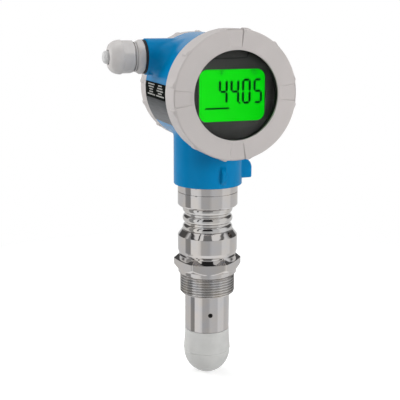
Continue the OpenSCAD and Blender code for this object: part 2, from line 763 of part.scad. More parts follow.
antenna_dome();
antenna_seal();
sensor_tube();
tube_set_screw();
process_connection();
waveguide();
waveguide_seal();
sensor_body();
cooling_neck();
lower_ring();
neck_adapter();
neck_oring();
retaining_ring();
radar_module();
module_board();
module_socket();
housing();
lock_screw();
nameplate();
ground_clamp();
ground_screw();
electronics_insert();
main_board();
insert_lid();
display_carrier();
compartment_seal();
terminal_block();
terminal_screws();
inner_ground_screw();
gland_washer();
gland_body();
display_bezel();
lcd_panel();
lcd_segments();
display_board();
cover_oring();
display_cover();
window_gasket();
window_glass();
window_ring();
rear_oring();
rear_cover();
gland_insert();
gland_plug();
gland_nut();
plug_oring();
blind_plug();
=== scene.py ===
"""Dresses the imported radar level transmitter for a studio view.

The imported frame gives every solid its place. The classes below put the finished
surfaces over it: each sub-assembly is a class with its sizes as fields, in
millimetres unless a name ends in ``_m`` or ``_deg``.
"""
import logging
import math
from dataclasses import dataclass, field
from enum import Enum
from typing import Callable, Optional, Sequence

import bmesh
import bpy
import numpy as np
from mathutils import Matrix, Vector


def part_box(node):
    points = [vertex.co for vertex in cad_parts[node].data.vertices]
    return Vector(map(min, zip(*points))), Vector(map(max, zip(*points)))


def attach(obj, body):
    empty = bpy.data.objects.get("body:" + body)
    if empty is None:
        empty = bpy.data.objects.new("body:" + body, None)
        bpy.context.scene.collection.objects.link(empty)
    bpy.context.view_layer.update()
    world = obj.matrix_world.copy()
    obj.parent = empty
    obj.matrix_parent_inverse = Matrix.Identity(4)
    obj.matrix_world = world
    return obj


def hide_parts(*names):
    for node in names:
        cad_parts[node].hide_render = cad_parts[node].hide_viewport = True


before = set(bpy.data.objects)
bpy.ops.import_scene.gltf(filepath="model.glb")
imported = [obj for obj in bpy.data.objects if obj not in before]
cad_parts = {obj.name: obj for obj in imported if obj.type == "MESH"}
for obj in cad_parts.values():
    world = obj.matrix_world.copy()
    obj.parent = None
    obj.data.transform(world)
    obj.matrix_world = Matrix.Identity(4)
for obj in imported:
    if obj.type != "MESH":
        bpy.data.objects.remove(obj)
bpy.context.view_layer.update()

LOG = logging.getLogger("transmitter")
MM = 0.001
AXIS_H = 158.4
ENTRY_H = 184.8
ENTRY_BACK = 14.0
NECK_Z = 78.2
SIXTH = math.pi / 3

Array = np.ndarray
Socket = bpy.types.NodeSocket
Node = bpy.types.Node
Point = tuple[float, float]
Colour = tuple[float, float, float]
Shape = tuple[Array, Sequence[Sequence[int]]]
Distance = Callable[[Array], Array]
Rule = Callable[[Array, Array, Array], tuple[Array, Array]]


class Facing(Enum):
    """Where the local +Z of a turned piece looks, and where its axis passes."""

    UP = ((1, 0, 0), (0, 1, 0), (0, 0, 1), (0, 0, 0))
    FRONT = ((1, 0, 0), (0, 0, 1), (0, -1, 0), (0, 0, AXIS_H))
    REAR = ((1, 0, 0), (0, 0, -1), (0, 1, 0), (0, 0, AXIS_H))
    LEFT = ((0, 0, 1), (0, 1, 0), (-1, 0, 0), (0, ENTRY_BACK, ENTRY_H))

    def place(self, points: Array) -> Array:
        """Turns local points, in millimetres, into the part's frame in metres."""
        *axes, origin = (np.array(v, float) for v in self.value)
        return (origin + sum(points[..., k:k + 1] * axes[k] for k in range(3))) * MM


class NodeWork:
    """Adds and wires the nodes of one tree."""

    def __init__(self, tree: bpy.types.NodeTree) -> None:
        """Keeps the tree and its lists of nodes and links."""
        self.tree = tree
        self.nodes, self.links = tree.nodes, tree.links

    def node(self, kind: str, *values: object, **named: object) -> Node:
        """Adds a node and sets or links its inputs.

        Args:
            kind: Type of the node.
            values: Values or sockets for its inputs in order; None leaves one as it is.
            named: Values or sockets by the input's name, with underscores for spaces.

        Returns:
            The node.
        """
        made = self.nodes.new(kind)
        chosen = [(made.inputs[key.replace("_", " ")], value) for key, value in named.items()]
        for socket, value in [*zip(made.inputs, values), *chosen]:
            if isinstance(value, Socket):
                self.links.new(value, socket)
            elif value is not None:
                socket.default_value = value
        return made

    def math(self, operation: str, *values: object) -> Socket:
        """Does one step of arithmetic on values or sockets.

        Args:
            operation: Name of the step.
            values: What it works on, in order.

        Returns:
            The socket with the answer.
        """
        made = self.node("ShaderNodeMath", *values)
        made.operation = operation
        return made.outputs[0]

    def choice(self, factor: Socket, first: Node, second: Node) -> Node:
        """Mixes the shaders of two nodes by a factor."""
        return self.node("ShaderNodeMixShader", factor, first.outputs[0], second.outputs[0])


# ---------------------------------------------------------------- finishes


class Shader(NodeWork):
    """Wires the nodes of one material round its Principled shader."""

    def __init__(self, name: str) -> None:
        """Starts a material with its Principled shader and object coordinates.

        Args:
            name: Name of the material.
        """
        self.material = bpy.data.materials.new(name)
        self.material.use_nodes = True
        super().__init__(self.material.node_tree)
        self.nodes.clear()
        self.output = self.node("ShaderNodeOutputMaterial")
        self.principled = self.node("ShaderNodeBsdfPrincipled")
        self.links.new(self.principled.outputs["BSDF"], self.output.inputs["Surface"])
        self.coordinates = self.node("ShaderNodeTexCoord").outputs["Object"]

    def set(self, **values: object) -> None:
        """Sets sockets of the Principled shader.

        Args:
            values: Values by the socket's name, with underscores for spaces.
        """
        for key, value in values.items():
            socket = self.principled.inputs[key.replace("_", " ")]
            if isinstance(value, tuple) and len(value) < len(socket.default_value):
                value = (*value, 1.0)
            socket.default_value = value

    def link(self, value: Socket, socket: str) -> None:
        """Links a value to a socket of the Principled shader."""
        self.links.new(value, self.principled.inputs[socket])

    def stretched(self, scale: Sequence[float]) -> Socket:
        """Object coordinates, scaled along each axis."""
        made = self.node("ShaderNodeMapping", Vector=self.coordinates, Scale=scale)
        return made.outputs["Vector"]

    def noise(self, scale: float, detail: float = 3.0, vector: Optional[Socket] = None) -> Socket:
        """Noise value on the given coordinates, or on the object's own.

        Args:
            scale: Size of the pattern, larger for finer.
            detail: How much finer detail it has.
            vector: The coordinates.

        Returns:
            The value.
        """
        place = vector or self.coordinates
        made = self.node("ShaderNodeTexNoise", place, Scale=scale, Detail=detail)
        return made.outputs["Fac"]

    def spread(self, value: Socket, low: float, high: float, start: float = 0.3,
               end: float = 0.7) -> Socket:
        """Maps a value between two places to a span.

        Args:
            value: The value to map.
            low: What it becomes at the start.
            high: What it becomes at the end.
            start: Where the span starts.
            end: Where the span ends.

        Returns:
            The mapped value.
        """
        sizes = {"From_Min": start, "From_Max": end, "To_Min": low, "To_Max": high}
        return self.node("ShaderNodeMapRange", Value=value, **sizes).outputs["Result"]

    def blend(self, factor: Socket, first: Colour | Socket, second: Colour | Socket) -> Socket:
        """Mixes two colours.

        Args:
            factor: Share of the second colour.
            first: A colour or a socket with one.
            second: A colour or a socket with one.

        Returns:
            The mixed colour.
        """
        made = self.node("ShaderNodeMix", factor)
        made.data_type = "RGBA"
        for socket, colour in zip([s for s in made.inputs if s.type == "RGBA"], (first, second)):
            if isinstance(colour, Socket):
                self.links.new(colour, socket)
            else:
                socket.default_value = (*colour, 1.0)
        return [s for s in made.outputs if s.type == "RGBA"][0]

    def drift(self, value: Socket, first: Colour, second: Colour) -> None:
        """Lets the colour drift between two shades as a value goes up and down."""
        self.link(self.blend(self.spread(value, 0, 1), first, second), "Base Color")

    def wear(self, value: Socket, low: float, high: float) -> None:
        """Lets the roughness drift between two levels as a value goes up and down."""
        self.link(self.spread(value, low, high), "Roughness")

    def bump(self, height: Socket, depth_mm: float) -> None:
        """Adds relief of the given depth in millimetres."""
        made = self.node("ShaderNodeBump", Height=height, Distance=depth_mm * MM, Strength=1.0)
        self.link(made.outputs["Normal"], "Normal")


def tinted(colour: Colour, *gains: float) -> Colour:
    """The colour with its channels made stronger or weaker, by one gain or one each."""
    return tuple(min(1.0, c * k) for c, k in zip(colour, gains if len(gains) == 3 else gains * 3))


@dataclass(frozen=True)
class Finish:
    """What every finish shares: its name, its record slot, its colour and its roughness."""

    name: str
    slot: str
    colour: Colour
    roughness: float

    def dress(self, shader: Shader) -> None:
        """Gives the shader its plain colour and roughness."""
        shader.set(Base_Color=self.colour, Roughness=self.roughness)

    def material(self) -> bpy.types.Material:
        """Makes the material the first time it is asked for.

        Returns:
            The material.
        """
        found = bpy.data.materials.get(self.name)
        if found:
            return found
        shader = Shader(self.name)
        self.dress(shader)
        return shader.material


@dataclass(frozen=True)
class TurnedSteel(Finish):
    """Stainless steel with the fine rings that turning leaves round the vertical axis."""

    ring_scale: float = 2600.0
    relief_mm: float = 0.004
    warm: Colour = (1.03, 1.0, 0.95)
    cold: Colour = (0.95, 0.97, 1.0)

    def dress(self, shader: Shader) -> None:
        """Adds rings along the height, faint clouding and a little colour drift.

        Args:
            shader: The material's shader.
        """
        rings = shader.noise(1.0, 2.0, shader.stretched((60, 60, self.ring_scale)))
        clouds = shader.noise(90.0, 4.0)
        shader.set(Metallic=1.0)
        shader.drift(clouds, tinted(self.colour, *self.cold), tinted(self.colour, *self.warm))
        shader.wear(rings, self.roughness * 0.85, self.roughness * 1.2)
        shader.bump(rings, self.relief_mm)


@dataclass(frozen=True)
class Lacquer(Finish):
    """Sprayed coating on a casting: a soft orange peel, mottled very slightly."""

    peel_scale: float = 700.0
    peel_mm: float = 0.02
    coat: float = 0.0
    mottle: float = 0.04
    sheen_level: float = 0.5

    def dress(self, shader: Shader) -> None:
        """Adds colour drift, orange peel and a clear coat.

        Args:
            shader: The material's shader.
        """
        clouds = shader.noise(45.0)
        peel = shader.noise(self.peel_scale, 2.0)
        shader.set(Coat_Weight=self.coat, Coat_Roughness=0.15, Specular_IOR_Level=self.sheen_level)
        dark, light = (tinted(self.colour, 1 + drift) for drift in (-self.mottle, self.mottle))
        shader.drift(clouds, dark, light)
        shader.wear(peel, self.roughness * 0.9, self.roughness * 1.12)
        shader.bump(peel, self.peel_mm)


@dataclass(frozen=True)
class Moulded(Finish):
    """Moulded plastic or rubber with a fine even grain."""

    grain_scale: float = 1500.0
    grain_mm: float = 0.015
    depth: float = 0.0
    sheen_level: float = 0.5

    def dress(self, shader: Shader) -> None:
        """Adds fine grain, a little colour drift and, for pale plastics, light inside.

        Args:
            shader: The material's shader.
        """
        grain = shader.noise(self.grain_scale, 2.0)
        clouds = shader.noise(120.0)
        shader.set(Specular_IOR_Level=self.sheen_level)
        if self.depth:
            shader.set(Subsurface_Weight=self.depth, Subsurface_Radius=(1.0, 0.9, 0.8),
                       Subsurface_Scale=1.5 * MM)
        shader.drift(clouds, tinted(self.colour, 0.95), tinted(self.colour, 1.04))
        shader.wear(grain, self.roughness * 0.92, self.roughness * 1.08)
        shader.bump(grain, self.grain_mm)


@dataclass(frozen=True)
class Backlight(Finish):
    """Lit display field: brighter towards its left side, where the lamp sits."""

    film_light: Colour = (0.0, 0.3, 0.004)
    lit_far: Colour = (0.0, 0.7, 0.0)
    lit_near: Colour = (0.015, 0.92, 0.012)
    glow: float = 0.52
    lamp_x_m: float = -0.0275
    far_x_m: float = 0.024

    def dress(self, shader: Shader) -> None:
        """Adds light that falls off across the field, over a matte film.

        Args:
            shader: The material's shader.
        """
        split = shader.node("ShaderNodeSeparateXYZ", shader.coordinates)
        across = shader.spread(split.outputs["X"], 1.0, 0.0, self.lamp_x_m, self.far_x_m)
        soft = shader.math("POWER", across, 0.7)
        cells = shader.noise(4000.0, 1.0)
        shader.link(shader.blend(soft, self.lit_far, self.lit_near), "Emission Color")
        shader.drift(cells, self.colour, self.film_light)
        shader.set(Emission_Strength=self.glow, Roughness=self.roughness, Specular_IOR_Level=0.01)
        shader.bump(cells, 0.004)


@dataclass(frozen=True)
class Pane(Finish):
    """Clear window glass."""

    def dress(self, shader: Shader) -> None:
        """Adds transmission with a hint of handling haze.

        Args:
            shader: The material's shader.
        """
        super().dress(shader)
        shader.set(Transmission_Weight=1.0, IOR=1.1, Specular_IOR_Level=0.1)
        shader.wear(shader.noise(60.0, 4.0), 0.0, self.roughness)


@dataclass(frozen=True)
class Board(Finish):
    """Circuit board with pale tracks under its green film."""

    def dress(self, shader: Shader) -> None:
        """Adds a brick grid of tracks with pads.

        Args:
            shader: The material's shader.
        """
        super().dress(shader)
        brick = shader.node("ShaderNodeTexBrick", shader.coordinates, Scale=420.0,
                            Mortar_Size=0.012)
        pale = tuple(c * 1.9 + 0.02 for c in self.colour)
        shader.link(shader.blend(brick.outputs["Fac"], self.colour, pale), "Base Color")
        shader.bump(brick.outputs["Fac"], 0.03)


@dataclass(frozen=True)
class PrintedPlate(Finish):
    """Label plate: a black printed band above a bare brushed field."""

    band_low_z: float = 151.6
    fade_h: float = 16.0
    band: Colour = (0.008, 0.0095, 0.0085)
    shade: Colour = (0.012, 0.013, 0.014)

    def dress(self, shader: Shader) -> None:
        """Makes it black above the band's edge and brushed grey metal under it.

        Args:
            shader: The material's shader.
        """
        height = shader.node("ShaderNodeSeparateXYZ", shader.coordinates).outputs["Z"]
        edge = self.band_low_z * MM
        upper = shader.math("GREATER_THAN", height, edge)
        brushed = shader.noise(1.0, 3.0, shader.stretched((900, 60, 900)))
        fade = shader.spread(height, 0.35, 1.0, edge, edge - self.fade_h * MM)
        streaks = shader.math("MULTIPLY", fade, shader.spread(brushed, 0.85, 1.1))
        bare = shader.blend(streaks, self.shade, self.colour)
        shader.link(shader.blend(upper, bare, self.band), "Base Color")
        shader.set(Roughness=self.roughness, Metallic=0.0, Specular_IOR_Level=0.0)
        shader.bump(brushed, 0.006)


STEEL = TurnedSteel("polished_steel", "steel", (0.63, 0.61, 0.605), 0.06, relief_mm=0.0015)
RIB_STEEL = TurnedSteel("rib_steel", "steel", (0.66, 0.645, 0.635), 0.05, relief_mm=0.001)
THREAD_STEEL = TurnedSteel("thread_steel", "steel", (0.6, 0.585, 0.575), 0.12, relief_mm=0.002)
SMALL_STEEL = TurnedSteel("screw_steel", "steel", (0.5, 0.5, 0.49), 0.28)
OXIDE_STEEL = TurnedSteel("oxide_steel", "steel", (0.035, 0.035, 0.035), 0.35)
GOLD = TurnedSteel("gold_plating", "gold_plate", (0.85, 0.6, 0.25), 0.18)
BLUE = Lacquer("blue_lacquer", "blue_coating", (0.0, 0.188, 0.425), 0.2,
               peel_mm=0.01, coat=0.03, sheen_level=0.08)
GREY = Lacquer("grey_lacquer", "grey_coating", (0.475, 0.445, 0.435), 0.42,
               peel_scale=900.0, peel_mm=0.015, mottle=0.025, sheen_level=0.4)
GREY_PLASTIC = Moulded("grey_gland_plastic", "grey_plastic", (0.53, 0.51, 0.5), 0.38)
PLUG_PLASTIC = Moulded("pale_plug_plastic", "grey_plastic", (0.56, 0.56, 0.56), 0.42)
ANTENNA = Moulded("antenna_moulding", "antenna_plastic", (0.57, 0.57, 0.555), 0.2,
                  grain_mm=0.006, depth=0.08)
BLACK_PLASTIC = Moulded("black_moulding", "black_plastic", (0.02, 0.02, 0.02), 0.5)
INSERT_PLASTIC = Moulded("insert_moulding", "insert_plastic", (0.3, 0.31, 0.32), 0.5)
BEZEL = Moulded("bezel_moulding", "bezel_plastic", (0.036, 0.036, 0.035), 0.5,
                grain_scale=2200.0, grain_mm=0.01, sheen_level=0.1)
BEZEL_LINE = Moulded("bezel_line", "bezel_plastic", (0.008, 0.008, 0.008), 0.5,
                     grain_scale=2200.0, grain_mm=0.002, sheen_level=0.02)
RUBBER = Moulded("seal_rubber", "rubber", (0.012, 0.012, 0.013), 0.6)
CERAMIC = Moulded("ceramic_body", "seal_ceramic", (0.75, 0.73, 0.66), 0.35)
CIRCUIT = Board("board_laminate", "circuit_board", (0.01, 0.12, 0.05), 0.35)
GREEN = Backlight("display_backlight", "lcd_green", (0.0, 0.25, 0.002), 0.4)
INK = Moulded("display_ink", "lcd_ink", (0.0, 0.035, 0.006), 0.5,
              grain_scale=3000.0, grain_mm=0.002, sheen_level=0.01)
FAINT_INK = Moulded("display_faint_ink", "lcd_ink", (0.0, 0.3, 0.012), 0.5,
                    grain_scale=3000.0, grain_mm=0.002, sheen_level=0.01)
PANE = Pane("window_pane", "window_glass", (0.97, 0.98, 0.975), 0.02)
PLATE = PrintedPlate("label_plate", "label_print", (0.2, 0.205, 0.21), 0.4)
PRINT = Moulded("label_bars", "label_print", (0.3, 0.3, 0.285), 0.5)


# ---------------------------------------------------------------- mesh tools


def merge(mesh: bpy.types.Mesh) -> bpy.types.Mesh:
    """Merges doubled corners and turns every face outward.

    Args:
        mesh: The mesh, which is changed.

    Returns:
        The same mesh.
    """
    shape = bmesh.new()
    shape.from_mesh(mesh)
    bmesh.ops.remove_doubles(shape, verts=shape.verts, dist=1e-7)
    bmesh.ops.recalc_face_normals(shape, faces=shape.faces)
    shape.to_mesh(mesh)
    shape.free()
    return mesh


def mesh_of(name: str, shape: Shape) -> bpy.types.Mesh:
    """Makes a merged mesh.

    Args:
        name: Name of the mesh.
        shape: Points in metres and faces.

    Returns:
        The mesh.
    """
    mesh = bpy.data.meshes.new(name)
    mesh.from_pydata(shape[0].tolist(), [], [list(map(int, face)) for face in shape[1]])
    return merge(mesh)


def add_object(name: str, data: bpy.types.ID) -> bpy.types.Object:
    """Adds an object to the scene.

    Args:
        name: Name of the object.
        data: Its mesh, lamp or camera.

    Returns:
        The object.
    """
    made = bpy.data.objects.new(name, data)
    bpy.context.scene.collection.objects.link(made)
    return made


def bake(piece: bpy.types.Object) -> bpy.types.Mesh:
    """Makes the plain mesh that a piece's modifiers give, and removes them.

    Args:
        piece: The piece with its modifiers.

    Returns:
        The new mesh.
    """
    evaluated = piece.evaluated_get(bpy.context.evaluated_depsgraph_get())
    mesh = bpy.data.meshes.new_from_object(evaluated)
    piece.modifiers.clear()
    return mesh


def crisp(mesh: bpy.types.Mesh, sharp_deg: float) -> None:
    """Shades a mesh smooth, with a crisp line at every edge sharper than the angle."""
    mesh.shade_smooth()
    mesh.set_sharp_from_angle(angle=math.radians(sharp_deg))


def adopt(name: str, mesh: bpy.types.Mesh, finish: Finish, body: str,
          replaced: Sequence[str] = (), sharp_deg: float = 40.0) -> bpy.types.Object:
    """Turns a mesh into one finished piece on its body and hides the nodes that it stands for.

    Args:
        name: Name of the piece.
        mesh: Its mesh, in the part's frame and in metres.
        finish: Finish of the whole piece.
        body: Body that it rides on.
        replaced: Nodes that it stands for.
        sharp_deg: Edges sharper than this keep a crisp line.

    Returns:
        The piece, at the origin.
    """
    mesh.name = name
    mesh.materials.clear()
    mesh.materials.append(finish.material())
    crisp(mesh, sharp_deg)
    piece = add_object(name, mesh)
    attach(piece, body)
    if replaced:
        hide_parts(*replaced)
    LOG.info("%s: %d faces on %s", name, len(mesh.polygons), body)
    return piece


def make_piece(name: str, shape: Shape, finish: Finish, body: str,
               replaced: Sequence[str] = (), sharp_deg: float = 40.0) -> bpy.types.Object:
    """Makes one finished piece of points in metres and faces, as ``adopt`` does of a mesh."""
    return adopt(name, mesh_of(name, shape), finish, body, replaced, sharp_deg)


def softened(points: Sequence[tuple[float, float, float]], steps: int = 5) -> list[Point]:
    """Rounds the corners of a profile.

    Args:
        points: Radius, place along the axis and corner radius of each corner.
        steps: Points on each rounded corner, less one.

    Returns:
        The profile's points, with an arc at each corner that has a radius.
    """
    made: list[Point] = []
    for i, (r, a, soft) in enumerate(points):
        if not soft or i in (0, len(points) - 1):
            made.append((r, a))
            continue
        here = np.array((r, a))
        back = np.array(points[i - 1][:2]) - here
        on = np.array(points[i + 1][:2]) - here
        back, on = back / np.linalg.norm(back), on / np.linalg.norm(on)
        half = math.acos(max(-1.0, min(1.0, float(back @ on)))) / 2
        if abs(half - math.pi / 2) < 0.02:
            made.append((r, a))
            continue
        reach = soft / math.tan(half)
        centre = here + (back + on) / np.linalg.norm(back + on) * soft / math.sin(half)
        start, end = here + back * reach - centre, here + on * reach - centre
        sweep = math.atan2(start[0] * end[1] - start[1] * end[0], float(start @ end))
        for k in range(steps + 1):
            c, s = math.cos(sweep * k / steps), math.sin(sweep * k / steps)
            made.append((centre[0] + c * start[0] - s * start[1],
                         centre[1] + s * start[0] + c * start[1]))
    return made


def divided(profile: Sequence[Point], longest: float) -> list[Point]:
    """Adds points to a profile.

    Args:
        profile: Radius and place along the axis of each point.
        longest: No stretch is longer than this afterwards.

    Returns:
        The profile with the added points.
    """
    made = [profile[0]]
    for (r0, a0), (r1, a1) in zip(profile, profile[1:]):
        count = max(1, math.ceil(math.hypot(r1 - r0, a1 - a0) / longest))
        made += [(r0 + (r1 - r0) * k / count, a0 + (a1 - a0) * k / count)
                 for k in range(1, count + 1)]
    return made


def closed_loop(profile: Sequence[Point], longest: float) -> list[Point]:
    """Adds points to a profile whose end joins its start."""
    return divided([*profile, profile[0]], longest)[:-1]


def turned(profile: Sequence[Point], segments: int, facing: Facing = Facing.UP,
           rule: Optional[Rule] = None, closed: bool = True) -> Shape:
    """Turns a profile about an axis.

    Args:
        profile: Radius and place along the axis of each point.
        segments: Steps round the axis.
        facing: Where the axis is.
        rule: Changes radius and place by the angle, for flats and teeth.
        closed: Whether the profile's end joins its start.

    Returns:
        The points in metres and the faces.
    """
    rings = np.array(profile, float)
    count = len(rings)
    angles = np.arange(segments) * 2 * math.pi / segments
    radius, along = (np.repeat(rings[:, k][:, None], segments, 1) for k in (0, 1))
    turn = np.repeat(angles[None], count, 0)
    if rule:
        radius, along = rule(turn, radius, along)
    local = np.stack([radius * np.cos(turn), radius * np.sin(turn), along], -1).reshape(-1, 3)
    on_axis = rings[:, 0] < 1e-6
    faces = []
    for i in range(count if closed else count - 1):
        j = (i + 1) % count
        if on_axis[i] and on_axis[j]:
            continue
        for k in range(segments):
            n = (k + 1) % segments
            a, b, c, d = i * segments + k, i * segments + n, j * segments + n, j * segments + k
            if on_axis[i]:
                faces.append((i * segments, c, d))
            elif on_axis[j]:
                faces.append((a, b, j * segments))
            else:
                faces.append((a, b, c, d))
    return facing.place(local), faces


def soft_least(a: Array, b: Array | float, k: float) -> Array:
    """The lesser of two values, with a rounded change from one to the other."""
    h = np.maximum(k - np.abs(a - b), 0) / k
    return np.minimum(a, b) - h * h * k / 4


def soft_most(a: Array, b: Array | float, k: float) -> Array:
    """The greater of two values, with a rounded change from one to the other."""
    return -soft_least(-a, -b, k)


def round_least(a: Array, b: Array, radius: Array) -> Array:
    """The lesser of two distances, with a hollow arc of the given radius where they meet."""
    corner = np.hypot(np.maximum(radius - a, 0), np.maximum(radius - b, 0))
    return np.maximum(radius, np.minimum(a, b)) - corner


def smoothstep(x: Array, start: float, end: float) -> Array:
    """A smooth rise from 0 at start to 1 at end."""
    t = np.clip((x - start) / (end - start), 0, 1)
    return t * t * (3 - 2 * t)


def off_corner(turn: Array, start_deg: float) -> Array:
    """Angle between each place round the axis and the middle of its hexagon side."""
    return np.mod(turn - math.radians(start_deg), SIXTH) - SIXTH / 2


def hexagon_reach(turn: Array, half_width: float, start_deg: float, soft: float) -> Array:
    """Distance from the axis to a hexagon's side, with softened corners.

    Args:
        turn: Angle of each place.
        half_width: Half the size across the flats.
        start_deg: Angle of one corner.
        soft: How far the corners are taken back.

    Returns:
        The distance at each angle.
    """
    plain = half_width / np.cos(off_corner(turn, start_deg))
    return soft_least(plain, half_width / math.cos(SIXTH / 2) - soft, soft)


def cut(piece: bpy.types.Object, tool: Shape) -> None:
    """Cuts a closed tool shape out of a piece.

    Args:
        piece: The piece, which gets a new mesh.
        tool: Points in metres and faces of the tool.
    """
    cutter = add_object("cutter", mesh_of("cutter", tool))
    modifier = piece.modifiers.new("cut", "BOOLEAN")
    modifier.operation, modifier.solver, modifier.object = "DIFFERENCE", "EXACT", cutter
    piece.data = bake(piece)
    bpy.data.objects.remove(cutter)


# ---------------------------------------------------------------- soft solids


def rod_field(p: Array, centre: Point, axis: int, radius: float, low: float, high: float,
              soft: float = 0.0) -> Array:
    """Signed distance to a rod along one axis.

    Args:
        p: Points to measure from.
        centre: Where the rod's axis is, on the two other axes.
        axis: Number of the axis that it runs along.
        radius: Its radius.
        low: Its lower end.
        high: Its upper end.
        soft: Radius of its rims.

    Returns:
        The distance of each point, below zero inside.
    """
    u, v = (k for k in range(3) if k != axis)
    radial = np.hypot(p[..., u] - centre[0], p[..., v] - centre[1]) - radius + soft
    ends = np.maximum(low - p[..., axis], p[..., axis] - high) + soft
    outside = np.hypot(np.maximum(radial, 0), np.maximum(ends, 0))
    return outside + np.minimum(np.maximum(radial, ends), 0) - soft


def box_field(p: Array, low: Sequence[float], high: Sequence[float], soft: float) -> Array:
    """Signed distance to a box with rounded edges.

    Args:
        p: Points to measure from.
        low: Lowest corner.
        high: Highest corner.
        soft: Radius of its edges.

    Returns:
        The distance of each point, below zero inside.
    """
    centre, half = (np.array(low) + high) / 2, (np.array(high) - low) / 2 - soft
    q = np.abs(p - centre) - half
    return np.linalg.norm(np.maximum(q, 0), axis=-1) + np.minimum(q.max(-1), 0) - soft


def crossings_of(value: Array, low: Array, step: float,
                 axis: int) -> tuple[Array, Array, Array]:
    """Finds where a grid's edges along one axis cross the surface.

    Args:
        value: Signed distance at each place of the grid.
        low: Lowest corner of the grid.
        step: Size of its cells.
        axis: Number of the axis.

    Returns:
        The crossing points, the four cells round each edge, and which faces turn round.
    """
    first, second = [slice(None)] * 3, [slice(None)] * 3
    first[axis], second[axis] = slice(0, -1), slice(1, None)
    a, b = value[tuple(first)], value[tuple(second)]
    where = np.argwhere((a < 0) != (b < 0))
    va, vb = a[tuple(where.T)], b[tuple(where.T)]
    points = low + where * step
    points[:, axis] += step * va / (va - vb)
    u, v = (k for k in range(3) if k != axis)
    around = np.repeat(where[:, None], 4, 1)
    around[..., u] += (-1, 0, 0, -1)
    around[..., v] += (-1, -1, 0, 0)
    return points, around, (va < 0) != (axis == 1)


def settle(points: Array, distance: Distance, step: float) -> None:
    """Moves points onto the surface by a few short steps along its slope.

    Args:
        points: The points, which are changed.
        distance: Signed distance at an array of points.
        step: Size of the cells that they were found in.
    """
    small = step * 0.05
    for _ in range(4):
        slope = np.stack([distance(points + side) - distance(points - side)
                          for side in np.eye(3) * small], -1) / (2 * small)
        size = np.maximum((slope ** 2).sum(-1), 0.25)
        move = -(distance(points) / size)[:, None] * slope
        length = np.linalg.norm(move, axis=1, keepdims=True)
        points += move * np.minimum(1, 0.4 * step / np.maximum(length, 1e-9))


def mesh_of_field(distance: Distance, low: Sequence[float], high: Sequence[float],
                  step: float) -> Shape:
    """Meshes the surface where a signed distance is zero.

    Args:
        distance: Signed distance in millimetres at an array of points.
        low: Lowest corner of the space to look in.
        high: Highest corner.
        step: Size of the cells.

    Returns:
        Points in millimetres and faces of four corners, outward.
    """
    axes = [np.arange(low[k], high[k] + step, step) for k in range(3)]
    value = distance(np.stack(np.meshgrid(*axes, indexing="ij"), -1))
    cells = np.array(value.shape) - 1
    total, count = np.zeros((*cells, 3)), np.zeros(cells)
    quads = []
    for axis in range(3):
        points, around, flip = crossings_of(value, np.array(low, float), step, axis)
        good = ((around >= 0) & (around < cells)).all(-1)
        for corner in range(4):
            held = good[:, corner]
            cell = tuple(around[held, corner].T)
            np.add.at(total, cell, points[held])
            np.add.at(count, cell, 1)
        inside = good.all(1)
        quads.append((around[inside], flip[inside]))
    used = tuple(np.argwhere(count > 0).T)
    number = np.full(cells, -1)
    number[used] = np.arange(len(used[0]))
    points = total[used] / count[used][:, None]
    settle(points, distance, step)
    faces = [np.where(flip[:, None], corners, corners[:, ::-1])
             for corners, flip in ((number[tuple(np.moveaxis(a, -1, 0))], f) for a, f in quads)]
    return points, np.concatenate(faces)


# ---------------------------------------------------------------- node trees


class Recipe(NodeWork):
    """A Geometry Nodes tree under construction, with named inputs for its sizes."""

    def __init__(self, name: str, sizes: dict[str, float]) -> None:
        """Makes the tree with one input for each named size.

        Args:
            name: Name of the tree.
            sizes: The named sizes; a whole number gets a whole-number input.
        """
        super().__init__(bpy.data.node_groups.new(name, "GeometryNodeTree"))
        self.sizes = sizes
        sockets = self.tree.interface
        for key, value in sizes.items():
            kind = "NodeSocketInt" if isinstance(value, int) else "NodeSocketFloat"
            sockets.new_socket(key, in_out="INPUT", socket_type=kind)
        sockets.new_socket("Geometry", in_out="OUTPUT", socket_type="NodeSocketGeometry")
        self.given, self.result = self.node("NodeGroupInput"), self.node("NodeGroupOutput")

    def size(self, key: str) -> Socket:
        """The socket of a named size."""
        return self.given.outputs[key]

    def finish(self, geometry: Node, finish: Finish) -> None:
        """Ends the tree with realised instances and the finish.

        Args:
            geometry: The node whose geometry is the piece.
            finish: Finish of the whole piece.
        """
        real = self.node("GeometryNodeRealizeInstances", geometry.outputs[0])
        dressed = self.node("GeometryNodeSetMaterial", real.outputs[0], Material=finish.material())
        self.links.new(dressed.outputs[0], self.result.inputs[0])

    def mesh(self, name: str, place: Callable[[Array], Array] = Facing.UP.place) -> bpy.types.Mesh:
        """Evaluates the tree with its sizes.

        Args:
            name: Name of the piece.
            place: Takes the tree's points, in millimetres, to their place in metres.

        Returns:
            The plain mesh.
        """
        holder = add_object(name, bpy.data.meshes.new(name))
        modifier = holder.modifiers.new(name, "NODES")
        modifier.node_group = self.tree
        for item in self.tree.interface.items_tree:
            if item.in_out == "INPUT" and item.name in self.sizes:
                modifier[item.identifier] = self.sizes[item.name]
        mesh = bake(holder)
        bpy.data.objects.remove(holder)
        flat = np.empty(len(mesh.vertices) * 3)
        mesh.vertices.foreach_get("co", flat)
        mesh.vertices.foreach_set("co", place(flat.reshape(-1, 3)).ravel())
        return merge(mesh)


# ---------------------------------------------------------------- process side


